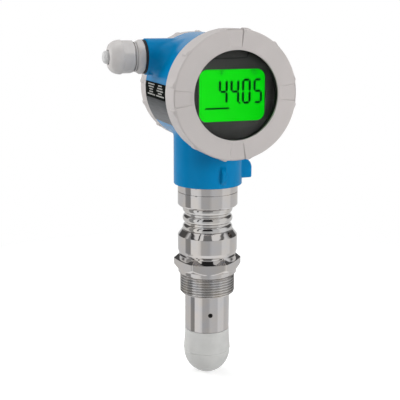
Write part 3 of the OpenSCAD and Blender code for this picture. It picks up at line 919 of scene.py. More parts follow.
@dataclass
class ProcessConnection:
    """Hexagon and collar, turned, and the pipe thread under them, as two pieces."""

    hex_af: float = 51.0
    hex_t: float = 11.9
    hex_turn_deg: float = -17.0
    bevel: float = 0.95
    sag: float = 0.9
    corner_soft: float = 0.35
    washer_face_r: float = 25.35
    washer_face_t: float = 2.9
    collar_top: float = 17.9
    relief_r: float = 22.5
    relief_l: float = 1.6
    relief_rim_r: float = 24.1
    relief_rim_t: float = 0.4
    thread_r: float = 23.9
    thread_l: float = 18.8
    pitch: float = 2.309
    thread_depth: float = 1.35
    lead_in: float = 1.9
    spigot_r: float = 17.45
    bore_r: float = 12.0
    joint_r: float = 16.0
    joint_l: float = 8.0

    def build(self) -> None:
        """Makes the head and the threaded sleeve."""
        self.build_head()
        self.build_thread()

    def build_head(self) -> None:
        """Makes the hexagon with its bevelled top, the stepped slopes over it and the relief."""
        half, top, low = self.hex_af / 2, self.collar_top - 0.05, -self.relief_l
        corner_r = half / math.cos(SIXTH / 2) + 0.4
        outer = softened([
            (self.bore_r, low, 0), (self.relief_r, low, 0), (self.relief_r, self.relief_rim_t, 0),
            (self.relief_rim_r, self.relief_rim_t, 0), (self.relief_rim_r, 0.0, 0),
            (self.washer_face_r, 0, 0.3), (self.washer_face_r, self.washer_face_t, 0),
            (corner_r, self.hex_t * 0.64, 0), (corner_r, self.hex_t, 0),
            (half - 0.05, self.hex_t, 0), (half - 1.3, top - 2.9, 0),
            (half - 0.95, top - 2.7, 0.1), (half - 0.95, top - 2.3, 0.1),
            (half - 2.0, top - 0.9, 0), (half - 2.0, top, 0), (self.joint_r, top, 0),
            (self.joint_r, self.collar_top - self.joint_l, 0),
            (self.bore_r, self.collar_top - self.joint_l, 0)])
        shape = turned(divided(outer, 0.8), 360, rule=self.flats)
        make_piece("process_hexagon", shape, STEEL, "process_unit", ["process_connection"])

    def flats(self, turn: Array, radius: Array, along: Array) -> tuple[Array, Array]:
        """Cuts the six flats and bevels the top of each towards the collar.

        Args:
            turn: Angle of each point.
            radius: Its distance from the axis.
            along: Its place along the axis.

        Returns:
            The changed distance and place.
        """
        half = self.hex_af / 2
        low, high = self.washer_face_t - 0.01, self.hex_t + 0.01
        side = hexagon_reach(turn, half, self.hex_turn_deg, self.corner_soft)
        in_hex = (along > low) & (along < high) & (radius > half - 0.1)
        made = np.where(in_hex, soft_least(radius, side, self.corner_soft), radius)
        off = off_corner(turn, self.hex_turn_deg)
        slope = self.hex_t + self.bevel * (half - made * np.cos(off)) - self.sag * np.cos(3 * off)
        slope = np.minimum(slope, self.collar_top - 0.6)
        on_top = (np.abs(along - self.hex_t) < 0.01) & (radius > half - 0.1)
        on_slopes = (along > self.hex_t) & (radius > half - 2.1)
        raised = np.where(on_top, slope, along)
        return made, np.where(on_slopes, np.maximum(along, slope), raised)

    def build_thread(self) -> None:
        """Makes the thread as a sleeve whose wall follows the helix by rule."""
        recipe = Recipe("thread_by_rule", {
            "Crest Radius": self.thread_r, "Depth": self.thread_depth, "Pitch": self.pitch,
            "Length": self.thread_l - self.relief_l, "Inner Radius": self.spigot_r,
            "Lead In": self.lead_in, "Start": 0.9, "Rings": 150, "Segments": 216})
        step, size = recipe.math, recipe.size
        grid = recipe.node("GeometryNodeMeshGrid", 1.0, 1.0, size("Segments"), size("Rings"))
        position = recipe.node("GeometryNodeInputPosition").outputs[0]
        across, upward, _ = recipe.node("ShaderNodeSeparateXYZ", position).outputs
        around = step("ADD", across, 0.5)
        down = step("MULTIPLY", step("ADD", upward, 0.5), size("Length"))
        phase = step("FRACT", step("ADD", step("DIVIDE", down, size("Pitch")), around))
        wave = step("ABSOLUTE", step("SUBTRACT", step("MULTIPLY", phase, 2.0), 1.0))
        crest = step("MINIMUM", step("MULTIPLY", wave, 1.25), 1.0)
        rounded = step("SMOOTH_MIN", crest, 0.97, 0.2)
        groove = step("MULTIPLY", step("SUBTRACT", 1.0, rounded), size("Depth"))
        left = step("SUBTRACT", size("Length"), down)
        lead = step("SUBTRACT", size("Lead In"), left)
        start = step("SUBTRACT", size("Start"), down)
        chamfer = step("MAXIMUM", step("MAXIMUM", lead, start), 0.0)
        taken = step("MAXIMUM", groove, chamfer)
        wall = step("SUBTRACT", size("Crest Radius"), taken)
        rim = step("LESS_THAN", step("ABSOLUTE", upward), 0.4999)
        inner = step("MULTIPLY", size("Inner Radius"), step("SUBTRACT", 1.0, rim))
        radius = step("ADD", step("MULTIPLY", wall, rim), inner)
        angle = step("MULTIPLY", around, 2 * math.pi)
        moved = recipe.node("ShaderNodeCombineXYZ", step("MULTIPLY", radius, step("COSINE", angle)),
                            step("MULTIPLY", radius, step("SINE", angle)),
                            step("SUBTRACT", -self.relief_l, down))
        shaped = recipe.node("GeometryNodeSetPosition", grid.outputs[0], None, moved.outputs[0])
        recipe.finish(shaped, THREAD_STEEL)
        adopt("process_thread", recipe.mesh("process_thread"), THREAD_STEEL, "process_unit",
              ["process_connection"], 60)


@dataclass
class SensorStack:
    """Everything turned on the vertical axis between the connection and the housing."""

    body_r: float = 25.6
    collar_r: float = 24.9
    body_low: float = 17.9
    body_top: float = 33.3
    body_bore_r: float = 12.0
    shoulder_r: float = 21.9
    shoulder_top: float = 38.2
    seat_r: float = 16.0
    seat_l: float = 10.0
    spanner_hole_r: float = 2.3
    spanner_holes_deg: Point = (-57.4, 122.6)
    neck_bore_r: float = 9.0
    rib_core_r: float = 19.6
    rib_r: float = 21.5
    rib_arc_r: float = 4.1
    rib_pitch: float = 8.3
    first_rib: float = 39.9
    neck_top: float = 59.2
    stub_r: float = 14.9
    stub_l: float = 6.7
    ring_r: float = 25.7
    ring_bore_r: float = 15.0
    ring_joint: float = 71.4
    ring_top: float = 78.1
    adapter_spigot_r: float = 19.9
    adapter_bore_r: float = 18.2
    turning_r: float = 21.9
    turning_l: float = 4.0
    joint_groove: float = 2.4
    joint_groove_h: float = 0.85

    def build(self) -> None:
        """Makes the body, the ribbed neck and the two rings."""
        self.build_body()
        self.build_neck()
        self.build_rings()

    def turn_ring(self, name: str, corners: Sequence[tuple[float, float, float]],
                  replaced: Sequence[str]) -> bpy.types.Object:
        """Turns one polished ring of the stack.

        Args:
            name: Name of the piece.
            corners: Corners of its profile.
            replaced: Nodes that it stands for.

        Returns:
            The piece.
        """
        shape = turned(divided(softened(corners), 2.0), 240)
        return make_piece(name, shape, STEEL, "process_unit", replaced, 30)

    def build_body(self) -> None:
        """Makes the round body with its conical shoulder and two spanner holes."""
        low, seat = self.body_low, self.shoulder_top - self.seat_l
        piece = self.turn_ring("sensor_body_shell", [
            (self.body_bore_r, low, 0), (self.collar_r, low, 0.1), (self.body_r, low + 2.5, 0.6),
            (self.body_r, self.body_top, 0.35), (self.shoulder_r, self.shoulder_top, 0.3),
            (self.seat_r, self.shoulder_top, 0), (self.seat_r, seat, 0),
            (self.body_bore_r, seat, 0)], ["sensor_body"])
        slope = math.atan2(self.body_r - self.shoulder_r, self.shoulder_top - self.body_top)
        middle = ((self.body_r + self.shoulder_r) / 2, 0, (self.body_top + self.shoulder_top) / 2)
        hole_r = self.spanner_hole_r
        hole, hole_faces = turned([(0, -5), (hole_r, -5), (hole_r, 3), (0, 3)], 40)
        for turn_deg in self.spanner_holes_deg:
            turn = np.array(Matrix.Rotation(math.radians(turn_deg), 3, "Z"))
            tilt = turn @ np.array(Matrix.Rotation(math.pi / 2 - slope, 3, "Y"))
            cut(piece, (hole @ tilt.T + turn @ middle * MM, hole_faces))
        crisp(piece.data, 30)

    def build_neck(self) -> None:
        """Makes the neck: a core with rounded ribs repeated along it."""
        low, high = self.shoulder_top + 0.02, self.neck_top - 0.02
        seat, stub = self.shoulder_top - self.seat_l, self.neck_top + self.stub_l
        core = [(self.neck_bore_r, seat), (self.seat_r - 0.1, seat), (self.seat_r - 0.1, low),
                (self.rib_core_r, low), (self.rib_core_r, high), (self.stub_r, high),
                (self.stub_r, stub), (self.neck_bore_r, stub)]
        shape = turned(divided(core, 3.0), 160)
        make_piece("neck_core", shape, RIB_STEEL, "process_unit", ["cooling_neck"])
        recipe = Recipe("rib_stack", {
            "Ribs": 3, "Pitch": self.rib_pitch, "First": self.first_rib,
            "Arc Radius": self.rib_arc_r, "Arc Centre": self.rib_r - self.rib_arc_r})
        circle, size = "GeometryNodeCurvePrimitiveCircle", recipe.size
        arc = recipe.node(circle, Resolution=56, Radius=size("Arc Radius"))
        ring = recipe.node(circle, Resolution=200, Radius=size("Arc Centre"))
        rib = recipe.node("GeometryNodeCurveToMesh", ring.outputs[0], arc.outputs[0])
        step = recipe.node("ShaderNodeCombineXYZ", 0.0, 0.0, size("Pitch"))
        start = recipe.node("ShaderNodeCombineXYZ", 0.0, 0.0, size("First"))
        line = recipe.node("GeometryNodeMeshLine", Count=size("Ribs"),
                           Start_Location=start.outputs[0], Offset=step.outputs[0])
        copies = recipe.node("GeometryNodeInstanceOnPoints", line.outputs[0],
                             Instance=rib.outputs[0])
        recipe.finish(copies, RIB_STEEL)
        adopt("cooling_ribs", recipe.mesh("cooling_ribs"), RIB_STEEL, "process_unit",
              ["cooling_neck"], 60)

    def build_rings(self) -> None:
        """Makes the lower ring and the ring of the stub, with the thin joint between them."""
        low, joint, top = self.neck_top, self.ring_joint, self.ring_top
        seat, pocket_r = low + self.stub_l + 0.1, self.adapter_spigot_r + 0.1
        self.turn_ring("lower_ring_shell", [
            (self.ring_bore_r, low, 0), (self.ring_r - 1.2, low, 0.5),
            (self.ring_r, low + 1.3, 0.7), (self.ring_r, joint, 0.12), (pocket_r, joint, 0),
            (pocket_r, seat, 0), (self.ring_bore_r, seat, 0)], ["lower_ring"])
        under, end = joint + 0.02, top + self.turning_l
        groove_r, groove_top = self.ring_r - self.joint_groove, joint + self.joint_groove_h
        self.turn_ring("upper_ring_shell", [
            (self.adapter_spigot_r, under, 0), (groove_r, under, 0), (groove_r, groove_top, 0),
            (self.ring_r, groove_top, 0.12), (self.ring_r, top, 0.2), (self.turning_r, top, 0),
            (self.turning_r, end, 0), (self.adapter_bore_r, end, 0),
            (self.adapter_bore_r, under, 0)], ())


@dataclass
class AntennaCap:
    """Dielectric cap: flared band, ridge and rounded end."""

    tube_r: float = 19.45
    tube_end: float = -51.3
    cone_l: float = 30.0
    cone_r: float = 15.25
    cap_r: float = 20.6
    joint_groove: float = 1.6
    joint_groove_h: float = 0.45
    ridge_z: float = -71.5
    cap_h: float = 22.0

    def build(self) -> None:
        """Turns the cap with a soft ridge between band and dome."""
        end, ridge, ridge_r = self.tube_end, self.ridge_z, self.cap_r - 0.55
        neck_r, under = self.tube_r - self.joint_groove, self.tube_end - self.joint_groove_h
        dome_r, dome_h = self.cap_r - 0.35, self.cap_h - 0.75
        dome = [(dome_r * math.cos(t), ridge - 0.75 - dome_h * math.sin(t))
                for t in np.linspace(0, math.pi / 2, 41)]
        dome[-1] = (0.0, dome[-1][1])
        band = softened([
            (self.cone_r - 0.25, end + 13, 0), (self.cone_r, end, 0), (neck_r, end, 0),
            (neck_r, under, 0), (self.tube_r + 0.05, under, 0.2), (self.tube_r + 0.2, end - 7, 6),
            (self.cap_r, ridge + 0.45, 0.3), (ridge_r, ridge - 0.1, 0), (ridge_r, ridge - 0.4, 0),
            (*dome[0], 0)])
        shape = turned([(0.0, end + self.cone_l), *band[:-1], *dome], 240, closed=False)
        make_piece("antenna_cap", shape, ANTENNA, "process_unit", ["antenna_dome"], 28)


# ---------------------------------------------------------------- housing


@dataclass
class Housing:
    """Cast housing: drum, neck, two cable bosses, rib and lug, softly blended."""

    drum_r: float = 46.0
    drum_front: float = 40.0
    drum_rear: float = 29.4
    neck_r: float = 29.2
    boss_r: float = 14.9
    boss_reach: float = 51.2
    flare_shift: float = 11.0
    flare_span: float = 16.5
    flare_least: float = 1.6
    entry_r: float = 10.0
    front_bore_r: float = 39.5
    rear_bore_r: float = 37.0
    front_thread_r: float = 44.5
    rear_thread_r: float = 40.5
    spigot_front: float = 52.0
    spigot_rear: float = 39.4
    chamber_r: float = 25.0
    chamber_z: Point = (96.1, 113.1)
    neck_bore_r: float = 22.0
    passage_r: float = 8.0
    rib_r: float = 9.0
    rib_x: Point = (0.4, 5.0)
    rib_centre: Point = (-24.5, NECK_Z + 10.9)
    rib_back_y: float = -22.2
    lug_low: tuple[float, float, float] = (20.0, -6.0, NECK_Z + 3.4)
    lug_high: tuple[float, float, float] = (38.2, 6.0, NECK_Z + 20.4)
    crown_r: float = 8.0
    crown_centre: Point = (30.2, NECK_Z + 12.4)
    lock_r: float = 3.0
    lock_z: float = NECK_Z + 13.4
    neck_blend: float = 3.0
    rib_blend: float = 1.2
    lug_blend: float = 1.0
    space: tuple[tuple[float, float, float], ...] = ((-53.3, -54.2, 76.1), (53.3, 41.2, 206.6))
    cell: float = 1.1
    quick_cell: float = 1.6

    def flare(self, p: Array) -> Array:
        """Radius of the blend between drum and boss, widest towards the front.

        Args:
            p: Points to give it for.

        Returns:
            The radius at each point.
        """
        back, up = p[..., 1] - ENTRY_BACK, p[..., 2] - ENTRY_H
        size = np.maximum(np.hypot(back, up), 1e-6)
        side = self.flare_shift * up / size
        reach = np.sqrt(self.flare_span ** 2 - side ** 2) - self.flare_shift * back / size
        return self.flare_least + soft_most(reach - self.boss_r - self.flare_least, 0.0, 2.0)

    def lug(self, p: Array) -> Array:
        """Signed distance to the earth lug with its round crown.

        Args:
            p: Points to measure from.

        Returns:
            The distance of each point, below zero inside.
        """
        block = box_field(p, self.lug_low, self.lug_high, 0.5)
        (x, z), low, high = self.crown_centre, self.lug_low[1], self.lug_high[1]
        crown = rod_field(p, (x, z), 1, self.crown_r, low, high, 0.5)
        in_corner = (p[..., 0] > x) & (p[..., 2] > z)
        return np.maximum(block, np.where(in_corner, crown, block))

    def outside(self, p: Array) -> Array:
        """Signed distance to the blended outside of the casting.

        Args:
            p: Points to measure from.

        Returns:
            The distance of each point, below zero inside.
        """
        axis, entry = (0, AXIS_H), (ENTRY_BACK, ENTRY_H)
        drum = rod_field(p, axis, 1, self.drum_r, -self.drum_front, self.drum_rear, 0.8)
        neck = rod_field(p, (0, 0), 2, self.neck_r, NECK_Z, AXIS_H - 20, 0.7)
        boss = rod_field(p, entry, 0, self.boss_r, -self.boss_reach, self.boss_reach, 0.7)
        front = rod_field(p, axis, 1, self.front_thread_r, -self.spigot_front, 0, 0.5)
        rear = rod_field(p, axis, 1, self.rear_thread_r, 0, self.spigot_rear, 0.5)
        solid = round_least(soft_least(drum, neck, self.neck_blend), boss, self.flare(p))
        solid = np.minimum(solid, np.minimum(front, rear))
        rib = rod_field(p, self.rib_centre, 0, self.rib_r, *self.rib_x, 0.8)
        rib = np.maximum(rib, p[..., 1] - self.rib_back_y)
        return soft_least(soft_least(solid, rib, self.rib_blend), self.lug(p), self.lug_blend)

    def hollow(self, p: Array) -> Array:
        """Signed distance to the bores and chambers.

        Args:
            p: Points to measure from.

        Returns:
            The distance of each point, below zero inside.
        """
        axis, entry, middle = (0, AXIS_H), (ENTRY_BACK, ENTRY_H), (0, 0)
        return np.minimum.reduce([rod_field(p, *rod) for rod in (
            (axis, 1, self.front_bore_r, -60, -10), (axis, 1, self.rear_bore_r, -5, 50),
            (axis, 1, self.passage_r, -12, 0),
            (middle, 2, self.neck_bore_r, 60, self.chamber_z[0]),
            (middle, 2, self.chamber_r, *self.chamber_z),
            (entry, 0, self.entry_r, 20, 60), (entry, 0, self.entry_r, -60, -20),
            ((0, self.lock_z), 1, self.lock_r, 20, 31))])

    def build(self) -> None:
        """Meshes the casting with its bores."""
        points, faces = mesh_of_field(lambda p: np.maximum(self.outside(p), -self.hollow(p)),
                                      *self.space, self.cell)
        make_piece("housing_casting", (points * MM, faces), BLUE, "housing", ["housing"], 38)


# ---------------------------------------------------------------- covers


@dataclass(frozen=True)
class Grip:
    """Grip teeth round a cover's rim: steep on one side, running out on the other."""

    pair_deg: Point = (-8.5, 12.0)
    single_deg: tuple[float, ...] = (52.0, 142.0, 232.0)
    turn_deg: float = 0.0
    height: float = 1.2
    run_out_deg: float = 7.5

    def rise(self, turn: Array) -> Array:
        """Height of the teeth above the plain rim.

        Args:
            turn: Angle of each place.

        Returns:
            The height at each angle.
        """
        degrees = np.degrees(turn) - self.turn_deg
        teeth = [(90.0 * k + at, side) for k in range(4)
                 for at, side in zip(self.pair_deg, (-1, 1))]
        teeth += [(at, -1) for at in self.single_deg]
        height = np.zeros_like(turn)
        for at, side in teeth:
            off = (np.mod(degrees - at + 180, 360) - 180) * side
            run_out = 1 - smoothstep(off, 1.0, self.run_out_deg)
            height = np.maximum(height, smoothstep(off, -1.4, 0.2) * run_out)
        return height * self.height


@dataclass
class Cover:
    """What both covers share: the grooved thread bore at the open end and the grip teeth."""

    open_end: float
    rim_r: float
    thread_r: float
    teeth_from: Point
    teeth_to: Point
    grip: Grip
    groove_low: float = 1.5
    groove_high: float = 4.4
    groove_depth: float = 2.5

    def bore(self) -> list[tuple[float, float, float]]:
        """Corners of the thread bore with its seal groove, from inside to the rim.

        Returns:
            Radius, place along the axis and corner radius of each corner.
        """
        low, high = self.open_end + self.groove_low, self.open_end + self.groove_high
        deep = self.thread_r + self.groove_depth
        return [(self.thread_r, high, 0), (deep, high, 0), (deep, low, 0), (self.thread_r, low, 0),
                (self.thread_r, self.open_end, 0), (self.rim_r, self.open_end, 0.7)]

    def teeth(self, turn: Array, radius: Array, along: Array) -> tuple[Array, Array]:
        """Raises the teeth on the rim.

        Args:
            turn: Angle of each point.
            radius: Its distance from the axis.
            along: Its place along the axis.

        Returns:
            The changed distance and the place.
        """
        grown = smoothstep(along, *self.teeth_from) * (1 - smoothstep(along, *self.teeth_to))
        on_rim = smoothstep(radius, self.rim_r - 1.5, self.rim_r - 0.2)
        return radius + self.grip.rise(turn) * grown * on_rim, along


@dataclass
class FrontCover(Cover):
    """Front cover with grip teeth round its rim and four shallow recesses on its face."""

    open_end: float = 40.3
    rim_r: float = 50.7
    thread_r: float = 44.55
    teeth_from: Point = (50.5, 52.0)
    teeth_to: Point = (60.8, 62.4)
    grip: Grip = Grip()
    face: float = 63.0
    edge_soft: float = 1.3
    window_r: float = 34.75
    lip_t: float = 1.7
    seat_r: float = 39.15
    floor: float = 54.5
    recess_deg: float = 1.75
    recess_half_deg: float = 7.75
    recess_walls_deg: Point = (0.3, 0.8)
    recess_inner: float = 37.0
    recess_depth: float = 0.45
    recess_slope: float = 0.072

    def recess(self, turn: Array, radius: Array) -> Array:
        """Depth of the recesses: radial walls, deeper outward.

        Args:
            turn: Angle of each place of the face.
            radius: Its distance from the axis.

        Returns:
            The depth at each place.
        """
        degrees = np.mod(np.degrees(turn) - self.recess_deg + 45, 90) - 45
        wide = np.where(degrees > 0, self.recess_walls_deg[1], self.recess_walls_deg[0])
        side = smoothstep((self.recess_half_deg - np.abs(degrees)) / wide, -0.5, 0.9)
        inward = smoothstep(radius, self.recess_inner - 0.2, self.recess_inner + 0.5)
        slope = (radius - self.recess_inner) * self.recess_slope
        return side * inward * (self.recess_depth + slope)

    def worked(self, turn: Array, radius: Array, along: Array) -> tuple[Array, Array]:
        """Raises the teeth on the rim and presses the recesses into the face.

        Args:
            turn: Angle of each point.
            radius: Its distance from the axis.
            along: Its place along the axis.

        Returns:
            The changed distance and place.
        """
        on_face = smoothstep(along, self.face - 1.5, self.face - 0.7)
        raised, _ = self.teeth(turn, radius, along)
        return raised, along - self.recess(turn, radius) * on_face

    def build(self) -> None:
        """Turns the cover, raises its teeth and presses its recesses."""
        edge, face, seat = self.window_r, self.face, self.face - self.lip_t
        profile = softened([
            (self.seat_r, self.floor, 0), (self.thread_r, self.floor, 0), *self.bore(),
            (self.rim_r, face, self.edge_soft), (edge + 1.55, face, 0),
            (edge + 1.4, face - 0.14, 0), (edge + 1.2, face - 0.02, 0),
            (edge, face - 0.02, 0.25), (edge, seat, 0),
            (self.seat_r, seat, 0)], 6)
        shape = turned(closed_loop(profile, 0.9), 840, Facing.FRONT, self.worked)
        make_piece("front_cover", shape, GREY, "display_cover", ["display_cover"], 26)


@dataclass
class RearCover(Cover):
    """Rear cover: plain crowned back and the same grip teeth."""

    open_end: float = 29.7
    rim_r: float = 45.9
    thread_r: float = 40.55
    teeth_from: Point = (34.9, 36.2)
    teeth_to: Point = (42.2, 44.0)
    grip: Grip = Grip(turn_deg=-7.75)
    back: float = 50.4
    wall_t: float = 4.5
    bore_r: float = 37.0
    bore_end: float = 40.9

    def build(self) -> None:
        """Turns the cover and raises its teeth."""
        rim, back, inside = self.rim_r, self.back, self.back - self.wall_t
        profile = softened([
            (0, inside, 0), (self.bore_r, inside, 0), (self.bore_r, self.bore_end, 0),
            (self.thread_r, self.bore_end, 0), *self.bore(), (rim, back - 6.8, 0.8),
            (rim - 1.3, back - 2.2, 2.6), (rim - 12, back, 6), (0, back, 0)], 6)
        shape = turned(divided(profile, 1.4), 780, Facing.REAR, self.teeth, closed=False)
        make_piece("rear_cover_shell", shape, GREY, "rear_cover", ["rear_cover"], 28)


# ---------------------------------------------------------------- cable entries


@dataclass
class CableGland:
    """Gland body and cap nut with softened hexagons, and the transport plug."""

    thread_end: float = 41.2
    thread_r: float = 9.95
    bore_r: float = 6.5
    start: float = 53.2
    face: float = 60.0
    body_af: float = 25.8
    neck_r: float = 10.5
    nut_start: float = 61.5
    nut_end: float = 82.0
    nut_af: float = 25.0
    nut_turn_deg: float = -17.5
    nut_bore_r: float = 10.55
    nut_bore_end: float = 72.6
    nut_passage_r: float = 6.75
    nut_mouth_r: float = 6.1
    nut_mouth_l: float = 3.5
    skirt_end: float = 66.0
    dome_h: float = 9.5
    dome_r: float = 6.7
    plug_start: float = 66.5
    plug_r: float = 5.2
    plug_stem_r: float = 3.95
    plug_tip: float = 86.1

    def build(self) -> None:
        """Makes the body, the nut and the plug."""
        self.build_body()
        self.build_nut()
        self.build_plug()

    def build_body(self) -> None:
        """Makes the hexagonal flange with chamfered ends and the threaded neck."""
        half, face, start, end = self.body_af / 2, self.face, self.start, self.nut_start + 11
        profile = softened([
            (self.bore_r, self.thread_end, 0), (self.thread_r, self.thread_end, 0.4),
            (self.thread_r, start, 0), (half + 0.5, start, 0.3), (half + 1.1, start + 0.8, 0.3),
            (half + 1.1, face - 3.6, 0.3), (half - 0.6, face - 0.9, 0.2),
            (self.neck_r + 0.6, face - 0.9, 0), (self.neck_r + 0.6, face - 0.4, 0),
            (half - 0.7, face - 0.4, 0.2), (half - 0.7, face + 0.7, 0.25),
            (self.neck_r, face + 0.7, 0), (self.neck_r, end, 0.3), (self.bore_r, end, 0)])
        shape = turned(divided(profile, 1.5), 240, Facing.LEFT, self.body_flats)
        make_piece("gland_body_shell", shape, GREY_PLASTIC, "housing", ["gland_body"], 30)

    def body_flats(self, turn: Array, radius: Array, along: Array) -> tuple[Array, Array]:
        """Cuts the six flats into the flange.

        Args:
            turn: Angle of each point.
            radius: Its distance from the axis.
            along: Its place along the axis.

        Returns:
            The changed distance and the place.
        """
        side = hexagon_reach(turn, self.body_af / 2, 0, 0.4)
        return np.where(radius > self.neck_r + 0.3, soft_least(radius, side, 0.3), radius), along

    def build_nut(self) -> None:
        """Makes the cap nut: six flats that run out in a rounded dome."""
        half, corner, end = self.nut_af / 2, self.nut_af / 2 + 1.5, self.nut_end
        dome = [(self.dome_r + (corner - self.dome_r) * math.cos(t),
                 end - self.dome_h + self.dome_h * math.sin(t))
                for t in np.linspace(0, math.pi / 2, 19)]
        skirt = softened([
            (self.nut_bore_r, self.nut_start, 0), (half - 0.5, self.nut_start, 0.3),
            (corner, self.nut_start + 1.2, 0.3), (corner, self.skirt_end, 0)])
        mouth_r, passage_r, step = self.nut_mouth_r, self.nut_passage_r, end - self.nut_mouth_l
        inner = [(mouth_r + 0.3, end), (mouth_r, end - 0.3), (mouth_r, step), (passage_r, step),
                 (passage_r, self.nut_bore_end), (self.nut_bore_r, self.nut_bore_end)]
        profile = closed_loop([*skirt, *dome, *inner], 0.6)
        shape = turned(profile, 240, Facing.LEFT, self.nut_flats)
        make_piece("gland_cap_nut", shape, GREY_PLASTIC, "gland_nut", ["gland_nut"], 30)

    def nut_flats(self, turn: Array, radius: Array, along: Array) -> tuple[Array, Array]:
        """Cuts the six flats into the nut.

        Args:
            turn: Angle of each point.
            radius: Its distance from the axis.
            along: Its place along the axis.

        Returns:
            The changed distance and the place.
        """
        side = hexagon_reach(turn, self.nut_af / 2, self.nut_turn_deg, 0.1)
        milled = side + 3.0 * smoothstep(along, self.nut_end - 10.6, self.nut_end - 9.9)
        outer = radius > self.nut_bore_r + 0.05
        return np.where(outer, soft_least(radius, milled, 0.08), radius), along

    def build_plug(self) -> None:
        """Makes the stopper with a softly rounded head."""
        under, tip = self.nut_end - 4.35, self.plug_tip
        profile = softened([
            (0, self.plug_start, 0), (self.plug_stem_r, self.plug_start, 0.3),
            (self.plug_stem_r, under, 0), (self.plug_r, under, 0), (self.plug_r, tip - 1.6, 0.4),
            (self.plug_r - 1.2, tip - 0.1, 0.8), (0, tip, 0)])
        shape = turned(divided(profile, 1.0), 120, Facing.LEFT, closed=False)
        make_piece("gland_stopper", shape, PLUG_PLASTIC, "gland_seal", ["gland_plug"])


# ---------------------------------------------------------------- display


@dataclass
class DisplayFace:
    """Dark display face with a soft-edged opening for the lit field."""

    radius: float = 37.0
    back: float = 43.1
    front: float = 54.0
    wall_t: float = 1.5
    plate_t: float = 3.0
    field_w: float = 55.0
    field_h: float = 40.4
    corner: float = 6.6
    drop: float = -0.6
    count: int = 240

    def edge(self, angle: float, grow: float) -> Point:
        """Point on the rounded field's outline that lies in a direction from its centre.

        Args:
            angle: The direction.
            grow: How much wider than the field the outline is.

        Returns:
            The point.
        """
        w, h, c = self.field_w / 2 + grow, self.field_h / 2 + grow, self.corner + grow
        ux, uy = math.cos(angle), math.sin(angle)
        reach = min(w / abs(ux) if ux else 1e9, h / abs(uy) if uy else 1e9)
        x, y = reach * ux, reach * uy
        if abs(x) > w - c and abs(y) > h - c:
            cx, cy = math.copysign(w - c, ux), math.copysign(h - c, uy)
            b = ux * cx + uy * cy
            t = b + math.sqrt(max(0.0, b * b - (cx * cx + cy * cy - c * c)))
            x, y = t * ux, t * uy
        return x, y

    def round_row(self, level: float, inset: float) -> list[tuple[float, float, float]]:
        """One row of points on the round side.

        Args:
            level: Its place along the axis.
            inset: How far it lies inside the rim.

        Returns:
            The points.
        """
        angles = [2 * math.pi * k / self.count for k in range(self.count)]
        r = self.radius - inset
        return [(r * math.cos(t), r * math.sin(t), level) for t in angles]

    def field_row(self, level: float, grow: float) -> list[tuple[float, float, float]]:
        """One row of points on the field's side.

        Args:
            level: Its place along the axis.
            grow: How much wider than the field it is.

        Returns:
            The points.
        """
        edges = [self.edge(2 * math.pi * k / self.count, grow) for k in range(self.count)]
        return [(x, y + self.drop, level) for x, y in edges]

    def build(self) -> None:
        """Makes the face as a cup with the field cut through it."""
        back, front, inner = self.back, self.front, self.front - self.plate_t
        rows = [self.round_row(*row) for row in (
            (back, 0.0), (front - 0.6, 0.0), (front - 0.15, 0.35), (front, 0.9))]
        rows += [self.field_row(*row) for row in (
            (front, 0.55), (front - 0.15, 0.15), (front - 0.5, 0.0), (inner, 0.0))]
        rows += [self.round_row(level, self.wall_t) for level in (inner, back)]
        count, faces = self.count, []
        for i in range(len(rows)):
            a, b = i * count, (i + 1) % len(rows) * count
            faces += [(a + k, a + (k + 1) % count, b + (k + 1) % count, b + k)
                      for k in range(count)]
        points = Facing.FRONT.place(np.array(rows).reshape(-1, 3))
        make_piece("display_face", (points, faces), BEZEL, "display_module", ["display_bezel"], 35)


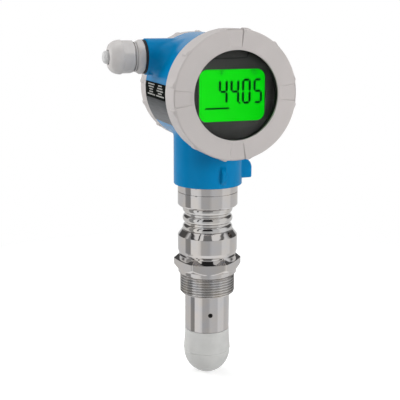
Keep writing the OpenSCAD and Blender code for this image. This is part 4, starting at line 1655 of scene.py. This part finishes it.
@dataclass
class DisplayInk:
    """Digits, point, level bar and faint signs on the lit field, and the panel line."""

    figures: tuple[int, ...] = (4, 4, 0, 5)
    strokes: dict[int, str] = field(default_factory=lambda: {0: "abcdef", 4: "bcfg", 5: "acdfg"})
    last_x: float = 21.5
    pitch: float = 9.7
    digit_w: float = 7.4
    digit_h: float = 19.6
    stroke: float = 1.85
    gap: float = 0.3
    raised: float = 3.0
    drop: float = -0.6
    thickness: float = 0.2
    level_bar: tuple[Point, Point] = ((-22.5, -9.85), (-2.5, -9.85))
    sign_lines: tuple[tuple[Point, Point, float], ...] = (
        ((-9.4, 15.6), (-9.4, 19.4), 0.8), ((-9.4, 19.0), (-7.2, 19.0), 0.8),
        ((-9.4, 17.3), (-7.8, 17.3), 0.8), ((16.4, 15.9), (19.6, 19.7), 0.7))
    sign_dots: tuple[Point, ...] = ((16.6, 19.0), (19.4, 16.6))
    panel_corners: tuple[Point, ...] = ((-17.2, 33.4), (-14.8, 28.8), (11.0, 28.8), (13.4, 33.4))
    panel_level: float = 54.0
    panel_t: float = 0.04

    def bar(self, start: Point, end: Point, width: float, tip: float = 0.5) -> list[Point]:
        """Outline of a bar between two points whose ends come to a blunt tip.

        Args:
            start: Middle of its first end.
            end: Middle of its other end.
            width: Its width.
            tip: Length of each tip, as a share of half the width.

        Returns:
            The corners of the outline.
        """
        a, b = np.array(start), np.array(end)
        along = (b - a) / np.linalg.norm(b - a)
        across = np.array([-along[1], along[0]]) * width / 2
        inset = along * width / 2 * tip
        outline = (a, a + inset - across, b - inset - across, b, b - inset + across,
                   a + inset + across)
        return [tuple(corner) for corner in outline]

    def dot(self, centre: Point, radius: float = 0.85) -> list[Point]:
        """Outline of a dot."""
        steps = [math.pi * k / 10 for k in range(20)]
        return [(centre[0] + radius * math.cos(t), centre[1] + radius * math.sin(t)) for t in steps]

    def digit(self, figure: int, x: float) -> list[list[Point]]:
        """Outlines of the strokes of one digit.

        Args:
            figure: Which digit.
            x: Place of its middle.

        Returns:
            An outline for each stroke.
        """
        w, h = (self.digit_w - self.stroke) / 2, (self.digit_h - self.stroke) / 2
        ends = {"a": (-w, h, w, h), "b": (w, h, w, 0), "c": (w, 0, w, -h), "d": (-w, -h, w, -h),
                "e": (-w, -h, -w, 0), "f": (-w, 0, -w, h), "g": (-w, 0, w, 0)}
        made = []
        for name in self.strokes[figure]:
            start, end = (np.array(p) + (x, self.raised) for p in (ends[name][:2], ends[name][2:]))
            off = (end - start) / np.linalg.norm(end - start) * self.gap
            made.append(self.bar(start + off, end - off, self.stroke, 0.8))
        return made

    def raise_up(self, name: str, outlines: Sequence[Sequence[Point]], level: float,
                 thickness: float, finish: Finish, replaced: Sequence[str] = ()) -> None:
        """Turns flat outlines into one thin raised piece.

        Args:
            name: Name of the piece.
            outlines: Corners of each outline.
            level: Place of their back along the axis.
            thickness: How far they rise.
            finish: Finish of the piece.
            replaced: Nodes that it stands for.
        """
        points, faces = [], []
        for outline in outlines:
            first, count = len(points), len(outline)
            for height in (level, level + thickness):
                points += [(x, y + self.drop, height) for x, y in outline]
            faces.append(range(first + count - 1, first - 1, -1))
            faces.append(range(first + count, first + 2 * count))
            faces += [(first + k, first + (k + 1) % count, first + count + (k + 1) % count,
                       first + count + k) for k in range(count)]
        shape = (Facing.FRONT.place(np.array(points)), faces)
        make_piece(name, shape, finish, "display_module", replaced, 20)

    def build(self) -> None:
        """Makes the dark signs, the faint ones and the line above the field."""
        level = -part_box("lcd_segments")[1][1] / MM
        last = len(self.figures) - 1
        dark = [outline for k, figure in enumerate(self.figures)
                for outline in self.digit(figure, self.last_x - (last - k) * self.pitch)]
        point_x = self.last_x - 1.5 * self.pitch - 0.75
        dark.append(self.dot((point_x, self.raised - self.digit_h / 2 + 0.8)))
        dark.append(self.bar(*self.level_bar, 1.3, 0.0))
        self.raise_up("display_digits", dark, level, self.thickness, INK, ["lcd_segments"])
        faint = [self.bar(*line) for line in self.sign_lines]
        faint += [self.dot(centre) for centre in self.sign_dots]
        self.raise_up("display_signs", faint, level, self.thickness, FAINT_INK)
        pairs = zip(self.panel_corners, self.panel_corners[1:])
        line = [self.bar(a, b, 0.8, 0.0) for a, b in pairs]
        self.raise_up("panel_line", line, self.panel_level, self.panel_t, BEZEL_LINE)


# ---------------------------------------------------------------- label


@dataclass
class LabelBars:
    """Rows of plain pale bars on the label's black band, in place of any print."""

    radius: float = 46.8
    rows: int = 5
    columns: int = 2
    column_span: float = 24.0
    first_deg: float = 174.6
    row_step_deg: float = 2.55
    forward: float = 2.0
    shortest: float = 9.0
    longest: float = 21.0
    bar_h: float = 0.5
    bar_t: float = 0.12
    seed: int = 7

    def bent(self, local: Array) -> Array:
        """Bends the flat rows round the drum.

        Args:
            local: Points with the rows one millimetre apart.

        Returns:
            The points in the part's frame, in metres.
        """
        row = local[:, 1] + (self.rows - 1) / 2
        angle = np.radians(self.first_deg + row * self.row_step_deg)
        reach, along = self.radius + local[:, 2], local[:, 0] + self.forward
        placed = np.stack([reach * np.cos(angle), reach * np.sin(angle), along], -1)
        return Facing.FRONT.place(placed)

    def build(self) -> None:
        """Repeats bars of random length along each row and bends the rows round the drum."""
        recipe = Recipe("label_rows", {
            "Rows": self.rows, "Columns": self.columns, "Seed": self.seed,
            "Column Span": self.column_span, "Row Span": self.rows - 1.0,
            "Shortest": self.shortest, "Longest": self.longest,
            "Bar Height": self.bar_h, "Bar Thickness": self.bar_t})
        size = recipe.size
        grid = recipe.node("GeometryNodeMeshGrid", size("Column Span"), size("Row Span"),
                           size("Columns"), size("Rows"))
        bar = recipe.node("GeometryNodeMeshCube", (1.0, 1.0, 1.0), 10, 2, 2)
        length = recipe.node("FunctionNodeRandomValue")
        length.data_type = "FLOAT"
        limits = [s for s in length.inputs if s.enabled and s.name in ("Min", "Max", "Seed")]
        for key, socket in zip(("Shortest", "Longest", "Seed"), limits):
            recipe.links.new(size(key), socket)
        value = [s for s in length.outputs if s.enabled][0]
        scale = recipe.node("ShaderNodeCombineXYZ", value, size("Bar Height"),
                            size("Bar Thickness"))
        copies = recipe.node("GeometryNodeInstanceOnPoints", grid.outputs[0],
                             Instance=bar.outputs[0], Scale=scale.outputs[0])
        recipe.finish(copies, PRINT)
        adopt("label_bars", recipe.mesh("label_bars", self.bent), PRINT, "housing")


# ---------------------------------------------------------------- carried-over nodes

CARRIED: dict[str, Finish] = {
    "antenna_seal": RUBBER, "sensor_tube": STEEL, "tube_set_screw": OXIDE_STEEL,
    "waveguide": GOLD, "waveguide_seal": CERAMIC, "neck_adapter": STEEL, "neck_oring": RUBBER,
    "retaining_ring": SMALL_STEEL, "radar_module": INSERT_PLASTIC, "module_board": CIRCUIT,
    "module_socket": INSERT_PLASTIC, "lock_screw": SMALL_STEEL, "nameplate": PLATE,
    "ground_clamp": SMALL_STEEL, "ground_screw": SMALL_STEEL,
    "electronics_insert": INSERT_PLASTIC, "main_board": CIRCUIT, "insert_lid": BLACK_PLASTIC,
    "display_carrier": BLACK_PLASTIC, "compartment_seal": BLACK_PLASTIC,
    "terminal_block": BLACK_PLASTIC, "terminal_screws": SMALL_STEEL,
    "inner_ground_screw": SMALL_STEEL, "gland_washer": RUBBER, "lcd_panel": GREEN,
    "display_board": CIRCUIT, "cover_oring": RUBBER, "window_gasket": RUBBER,
    "window_glass": PANE, "window_ring": BLACK_PLASTIC, "rear_oring": RUBBER,
    "gland_insert": RUBBER, "plug_oring": RUBBER, "blind_plug": GREY_PLASTIC,
}


def dress_carried_nodes() -> None:
    """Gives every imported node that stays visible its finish."""
    for name, finish in CARRIED.items():
        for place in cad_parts[name].material_slots:
            place.material = finish.material()


# ---------------------------------------------------------------- studio


@dataclass(frozen=True)
class Lamp:
    """A square soft lamp that looks at the middle of the part."""

    name: str
    place_m: tuple[float, float, float]
    size_m: float
    watts: float

    def build(self) -> None:
        """Hangs the lamp, out of sight of polished metal."""
        data = bpy.data.lights.new(self.name, "AREA")
        data.size, data.energy = self.size_m, self.watts
        lamp = add_object(self.name, data)
        lamp.location = self.place_m
        look = Vector((0, 0, 0.08)) - Vector(self.place_m)
        lamp.rotation_euler = look.to_track_quat("-Z", "Y").to_euler()
        lamp.visible_glossy = False


class WorldWork(NodeWork):
    """Wires the world's tree, with directions counted from the camera's bearing."""

    def __init__(self, world: bpy.types.World, bearing_deg: float) -> None:
        """Empties the world's tree and finds each direction's bearing and height.

        Args:
            world: The world.
            bearing_deg: The camera's bearing.
        """
        world.use_nodes = True
        super().__init__(world.node_tree)
        self.nodes.clear()
        self.bearing_deg = bearing_deg
        generated = self.node("ShaderNodeTexCoord").outputs["Generated"]
        x, y, z = self.node("ShaderNodeSeparateXYZ", generated).outputs
        turn = self.math("ARCTAN2", x, self.math("MULTIPLY", y, -1.0))
        self.around = self.math("ADD", self.math("DIVIDE", turn, 2 * math.pi), 0.5)
        rise = self.math("DIVIDE", self.math("ARCSINE", z), math.pi)
        self.height = self.math("ADD", rise, 0.5)

    def ramp(self, value: Socket, stops: Sequence[Point]) -> Socket:
        """A grey ramp.

        Args:
            value: Where on the ramp to look.
            stops: Place and level of each stop.

        Returns:
            The level there.
        """
        made = self.node("ShaderNodeValToRGB", value)
        made.color_ramp.interpolation = "LINEAR"
        while len(made.color_ramp.elements) < len(stops):
            made.color_ramp.elements.new(0.5)
        for element, (at, level) in zip(made.color_ramp.elements, stops):
            element.position, element.color = at, (level, level, level, 1)
        return made.outputs[0]

    def bearing(self, *stops: Point) -> Socket:
        """Level by the bearing, from degrees to the right of the camera's and levels."""
        return self.ramp(self.around, [((at + self.bearing_deg) / 360 + 0.5, level)
                                       for at, level in stops])

    def upward(self, *stops: Point) -> Socket:
        """Level by the height, from degrees above the horizon and levels."""
        return self.ramp(self.height, [(at / 180 + 0.5, level) for at, level in stops])

    def product(self, first: Socket, second: Socket) -> Socket:
        """The two values multiplied."""
        return self.math("MULTIPLY", first, second)

    def less(self, whole: float, mask: Socket, share: float) -> Socket:
        """A level that a mask lowers by a share."""
        return self.math("SUBTRACT", whole, self.math("MULTIPLY", mask, share))

    def mixed(self, factor: Socket, first: object, second: object) -> Socket:
        """Goes from the first value to the second by a factor."""
        step = self.math("SUBTRACT", second, first)
        return self.math("ADD", first, self.math("MULTIPLY", factor, step))


@dataclass
class Studio:
    """White studio: floor, soft lamps, banded surroundings for the metal, camera."""

    ambient: float = 0.22
    floor_z_m: float = -0.0942
    floor_reach_m: float = 6.0
    floor_fade_m: Point = (0.2, 0.5)
    bearing_deg: float = -19.97
    rise_deg: float = 12.73
    roll_deg: float = 0.22
    camera_m: tuple[float, float, float] = (-0.2498, -0.6682, 0.2241)
    lens_mm: float = 76.5
    panels: tuple[Point, ...] = (
        (-150, 0.66), (-98, 0.72), (-92, 0.33), (-70, 0.30), (-66, 0.92), (-40, 0.92),
        (-28, 0.80), (-23, 0.53), (6, 0.51), (18, 0.66), (54, 0.66), (60, 0.85), (94, 0.83),
        (100, 0.68), (150, 0.68))
    lamps: tuple[Lamp, ...] = (
        Lamp("front", (0.6, -1.12, 0.45), 0.45, 9.8),
        Lamp("front_left", (-0.7, -1.1, 0.2), 0.6, 3.4),
        Lamp("left", (-1.0, 0.6, 0.35), 0.7, 10.5),
        Lamp("right", (1.1, 0.3, 0.4), 0.7, 3.0),
        Lamp("top", (-0.15, 0.25, 1.35), 0.8, 9.5))

    def surroundings(self, work: WorldWork) -> Socket:
        """What polished metal mirrors: upright panels, dark masks, a ceiling and a slit.

        Args:
            work: The world's tree.

        Returns:
            The grey level of each direction.
        """
        panels = work.bearing(*self.panels)
        front = work.bearing((-25, 0), (-22, 1), (23, 1), (26, 0))
        behind = work.bearing((-158, 0), (-152, 1), (-112, 1), (-100, 0), (100, 0), (112, 1),
                              (152, 1), (158, 0))
        black = work.product(work.less(1.0, front, 0.96), work.less(1.0, behind, 0.86))
        ceiling = work.product(work.less(0.92, front, 0.7), work.less(1.0, behind, 0.6))
        seen = work.mixed(work.upward((3, 0), (8, 1)), panels, work.product(panels, black))
        seen = work.mixed(work.upward((46, 0), (50, 1)), seen, ceiling)
        seen = work.product(seen, work.upward((41, 1), (43, 0.2), (47, 0.2), (49, 1)))
        seen = work.mixed(work.upward((-44, 1), (-37, 0)), seen, 0.95)
        slit = work.bearing((-50, 1), (-48.5, 0.08), (-42.5, 0.08), (-41, 1))
        steep = work.upward((-8, 0), (-4, 1), (60, 1), (66, 0))
        return work.product(seen, work.mixed(steep, 1.0, slit))

    def build_world(self) -> None:
        """Sets the world: white to the eye, soft grey as light, banded in reflections."""
        world = bpy.data.worlds.new("studio")
        bpy.context.scene.world = world
        work = WorldWork(world, self.bearing_deg)
        seen = work.node("ShaderNodeBackground", self.surroundings(work))
        light = work.node("ShaderNodeBackground", (1, 1, 1, 1), self.ambient)
        white = work.node("ShaderNodeBackground", (1, 1, 1, 1))
        path = work.node("ShaderNodeLightPath")
        mirrored = work.choice(path.outputs["Is Glossy Ray"], light, seen)
        shown = work.choice(path.outputs["Is Camera Ray"], mirrored, white)
        work.node("ShaderNodeOutputWorld", shown.outputs[0])

    def build_floor(self) -> None:
        """Makes the pale floor that reads white where no shadow falls."""
        far, height = self.floor_reach_m, self.floor_z_m
        mesh = bpy.data.meshes.new("studio_floor")
        mesh.from_pydata([(x, y, height) for x, y in ((-far, -far), (far, -far), (far, far),
                                                      (-far, far))], [], [(0, 1, 2, 3)])
        floor = add_object("studio_floor", mesh)
        shader = Shader("floor_white")
        shader.drift(shader.noise(30.0), (0.8, 0.8, 0.8), (0.82, 0.82, 0.82))
        shader.set(Roughness=0.9, Specular_IOR_Level=0.0)
        glow = shader.node("ShaderNodeEmission", (1, 1, 1, 1), 0.5)
        near = shader.node("ShaderNodeAddShader", shader.principled.outputs[0], glow.outputs[0])
        length = shader.node("ShaderNodeVectorMath", shader.coordinates)
        length.operation = "LENGTH"
        away = shader.spread(length.outputs["Value"], 0.0, 1.0, *self.floor_fade_m)
        plain = shader.node("ShaderNodeEmission", (1, 1, 1, 1), 1.0)
        bounce = shader.node("ShaderNodeBsdfDiffuse", (0.55, 0.55, 0.55, 1))
        path = shader.node("ShaderNodeLightPath")
        faded = shader.choice(away, near, plain)
        pick = shader.choice(path.outputs["Is Camera Ray"], bounce, faded)
        shader.links.new(pick.outputs[0], shader.output.inputs["Surface"])
        mesh.materials.append(shader.material)
        floor.visible_glossy = False

    def build_camera(self) -> None:
        """Sets the camera at the height and bearing of a catalogue view."""
        bearing, rise, roll = map(math.radians, (self.bearing_deg, self.rise_deg, self.roll_deg))
        flat = Vector((math.sin(bearing), -math.cos(bearing), 0))
        back = flat * math.cos(rise) + Vector((0, 0, math.sin(rise)))
        right = Vector((math.cos(bearing), math.sin(bearing), 0))
        up = back.cross(right)
        c, s = math.cos(roll), math.sin(roll)
        turn = Matrix((c * right + s * up, c * up - s * right, back)).transposed()
        data = bpy.data.cameras.new("catalogue_view")
        data.sensor_width, data.lens = 36.0, self.lens_mm
        data.clip_start, data.clip_end = 0.02, 50.0
        camera = add_object("catalogue_view", data)
        camera.matrix_world = Matrix.Translation(self.camera_m) @ turn.to_4x4()
        bpy.context.scene.camera = camera

    def build(self) -> None:
        """Sets up the whole studio."""
        self.build_camera()
        self.build_world()
        self.build_floor()
        for lamp in self.lamps:
            lamp.build()
        bpy.context.scene.view_settings.view_transform = "Standard"


def main() -> None:
    """Builds the studio and dresses the part."""
    logging.basicConfig(level=logging.INFO, format="%(name)s: %(message)s")
    Studio().build()
    dress_carried_nodes()
    for assembly in (ProcessConnection(), SensorStack(), AntennaCap(), Housing(), FrontCover(),
                     RearCover(), CableGland(), DisplayFace(), DisplayInk(), LabelBars()):
        assembly.build()


if __name__ == "__main__":
    main()
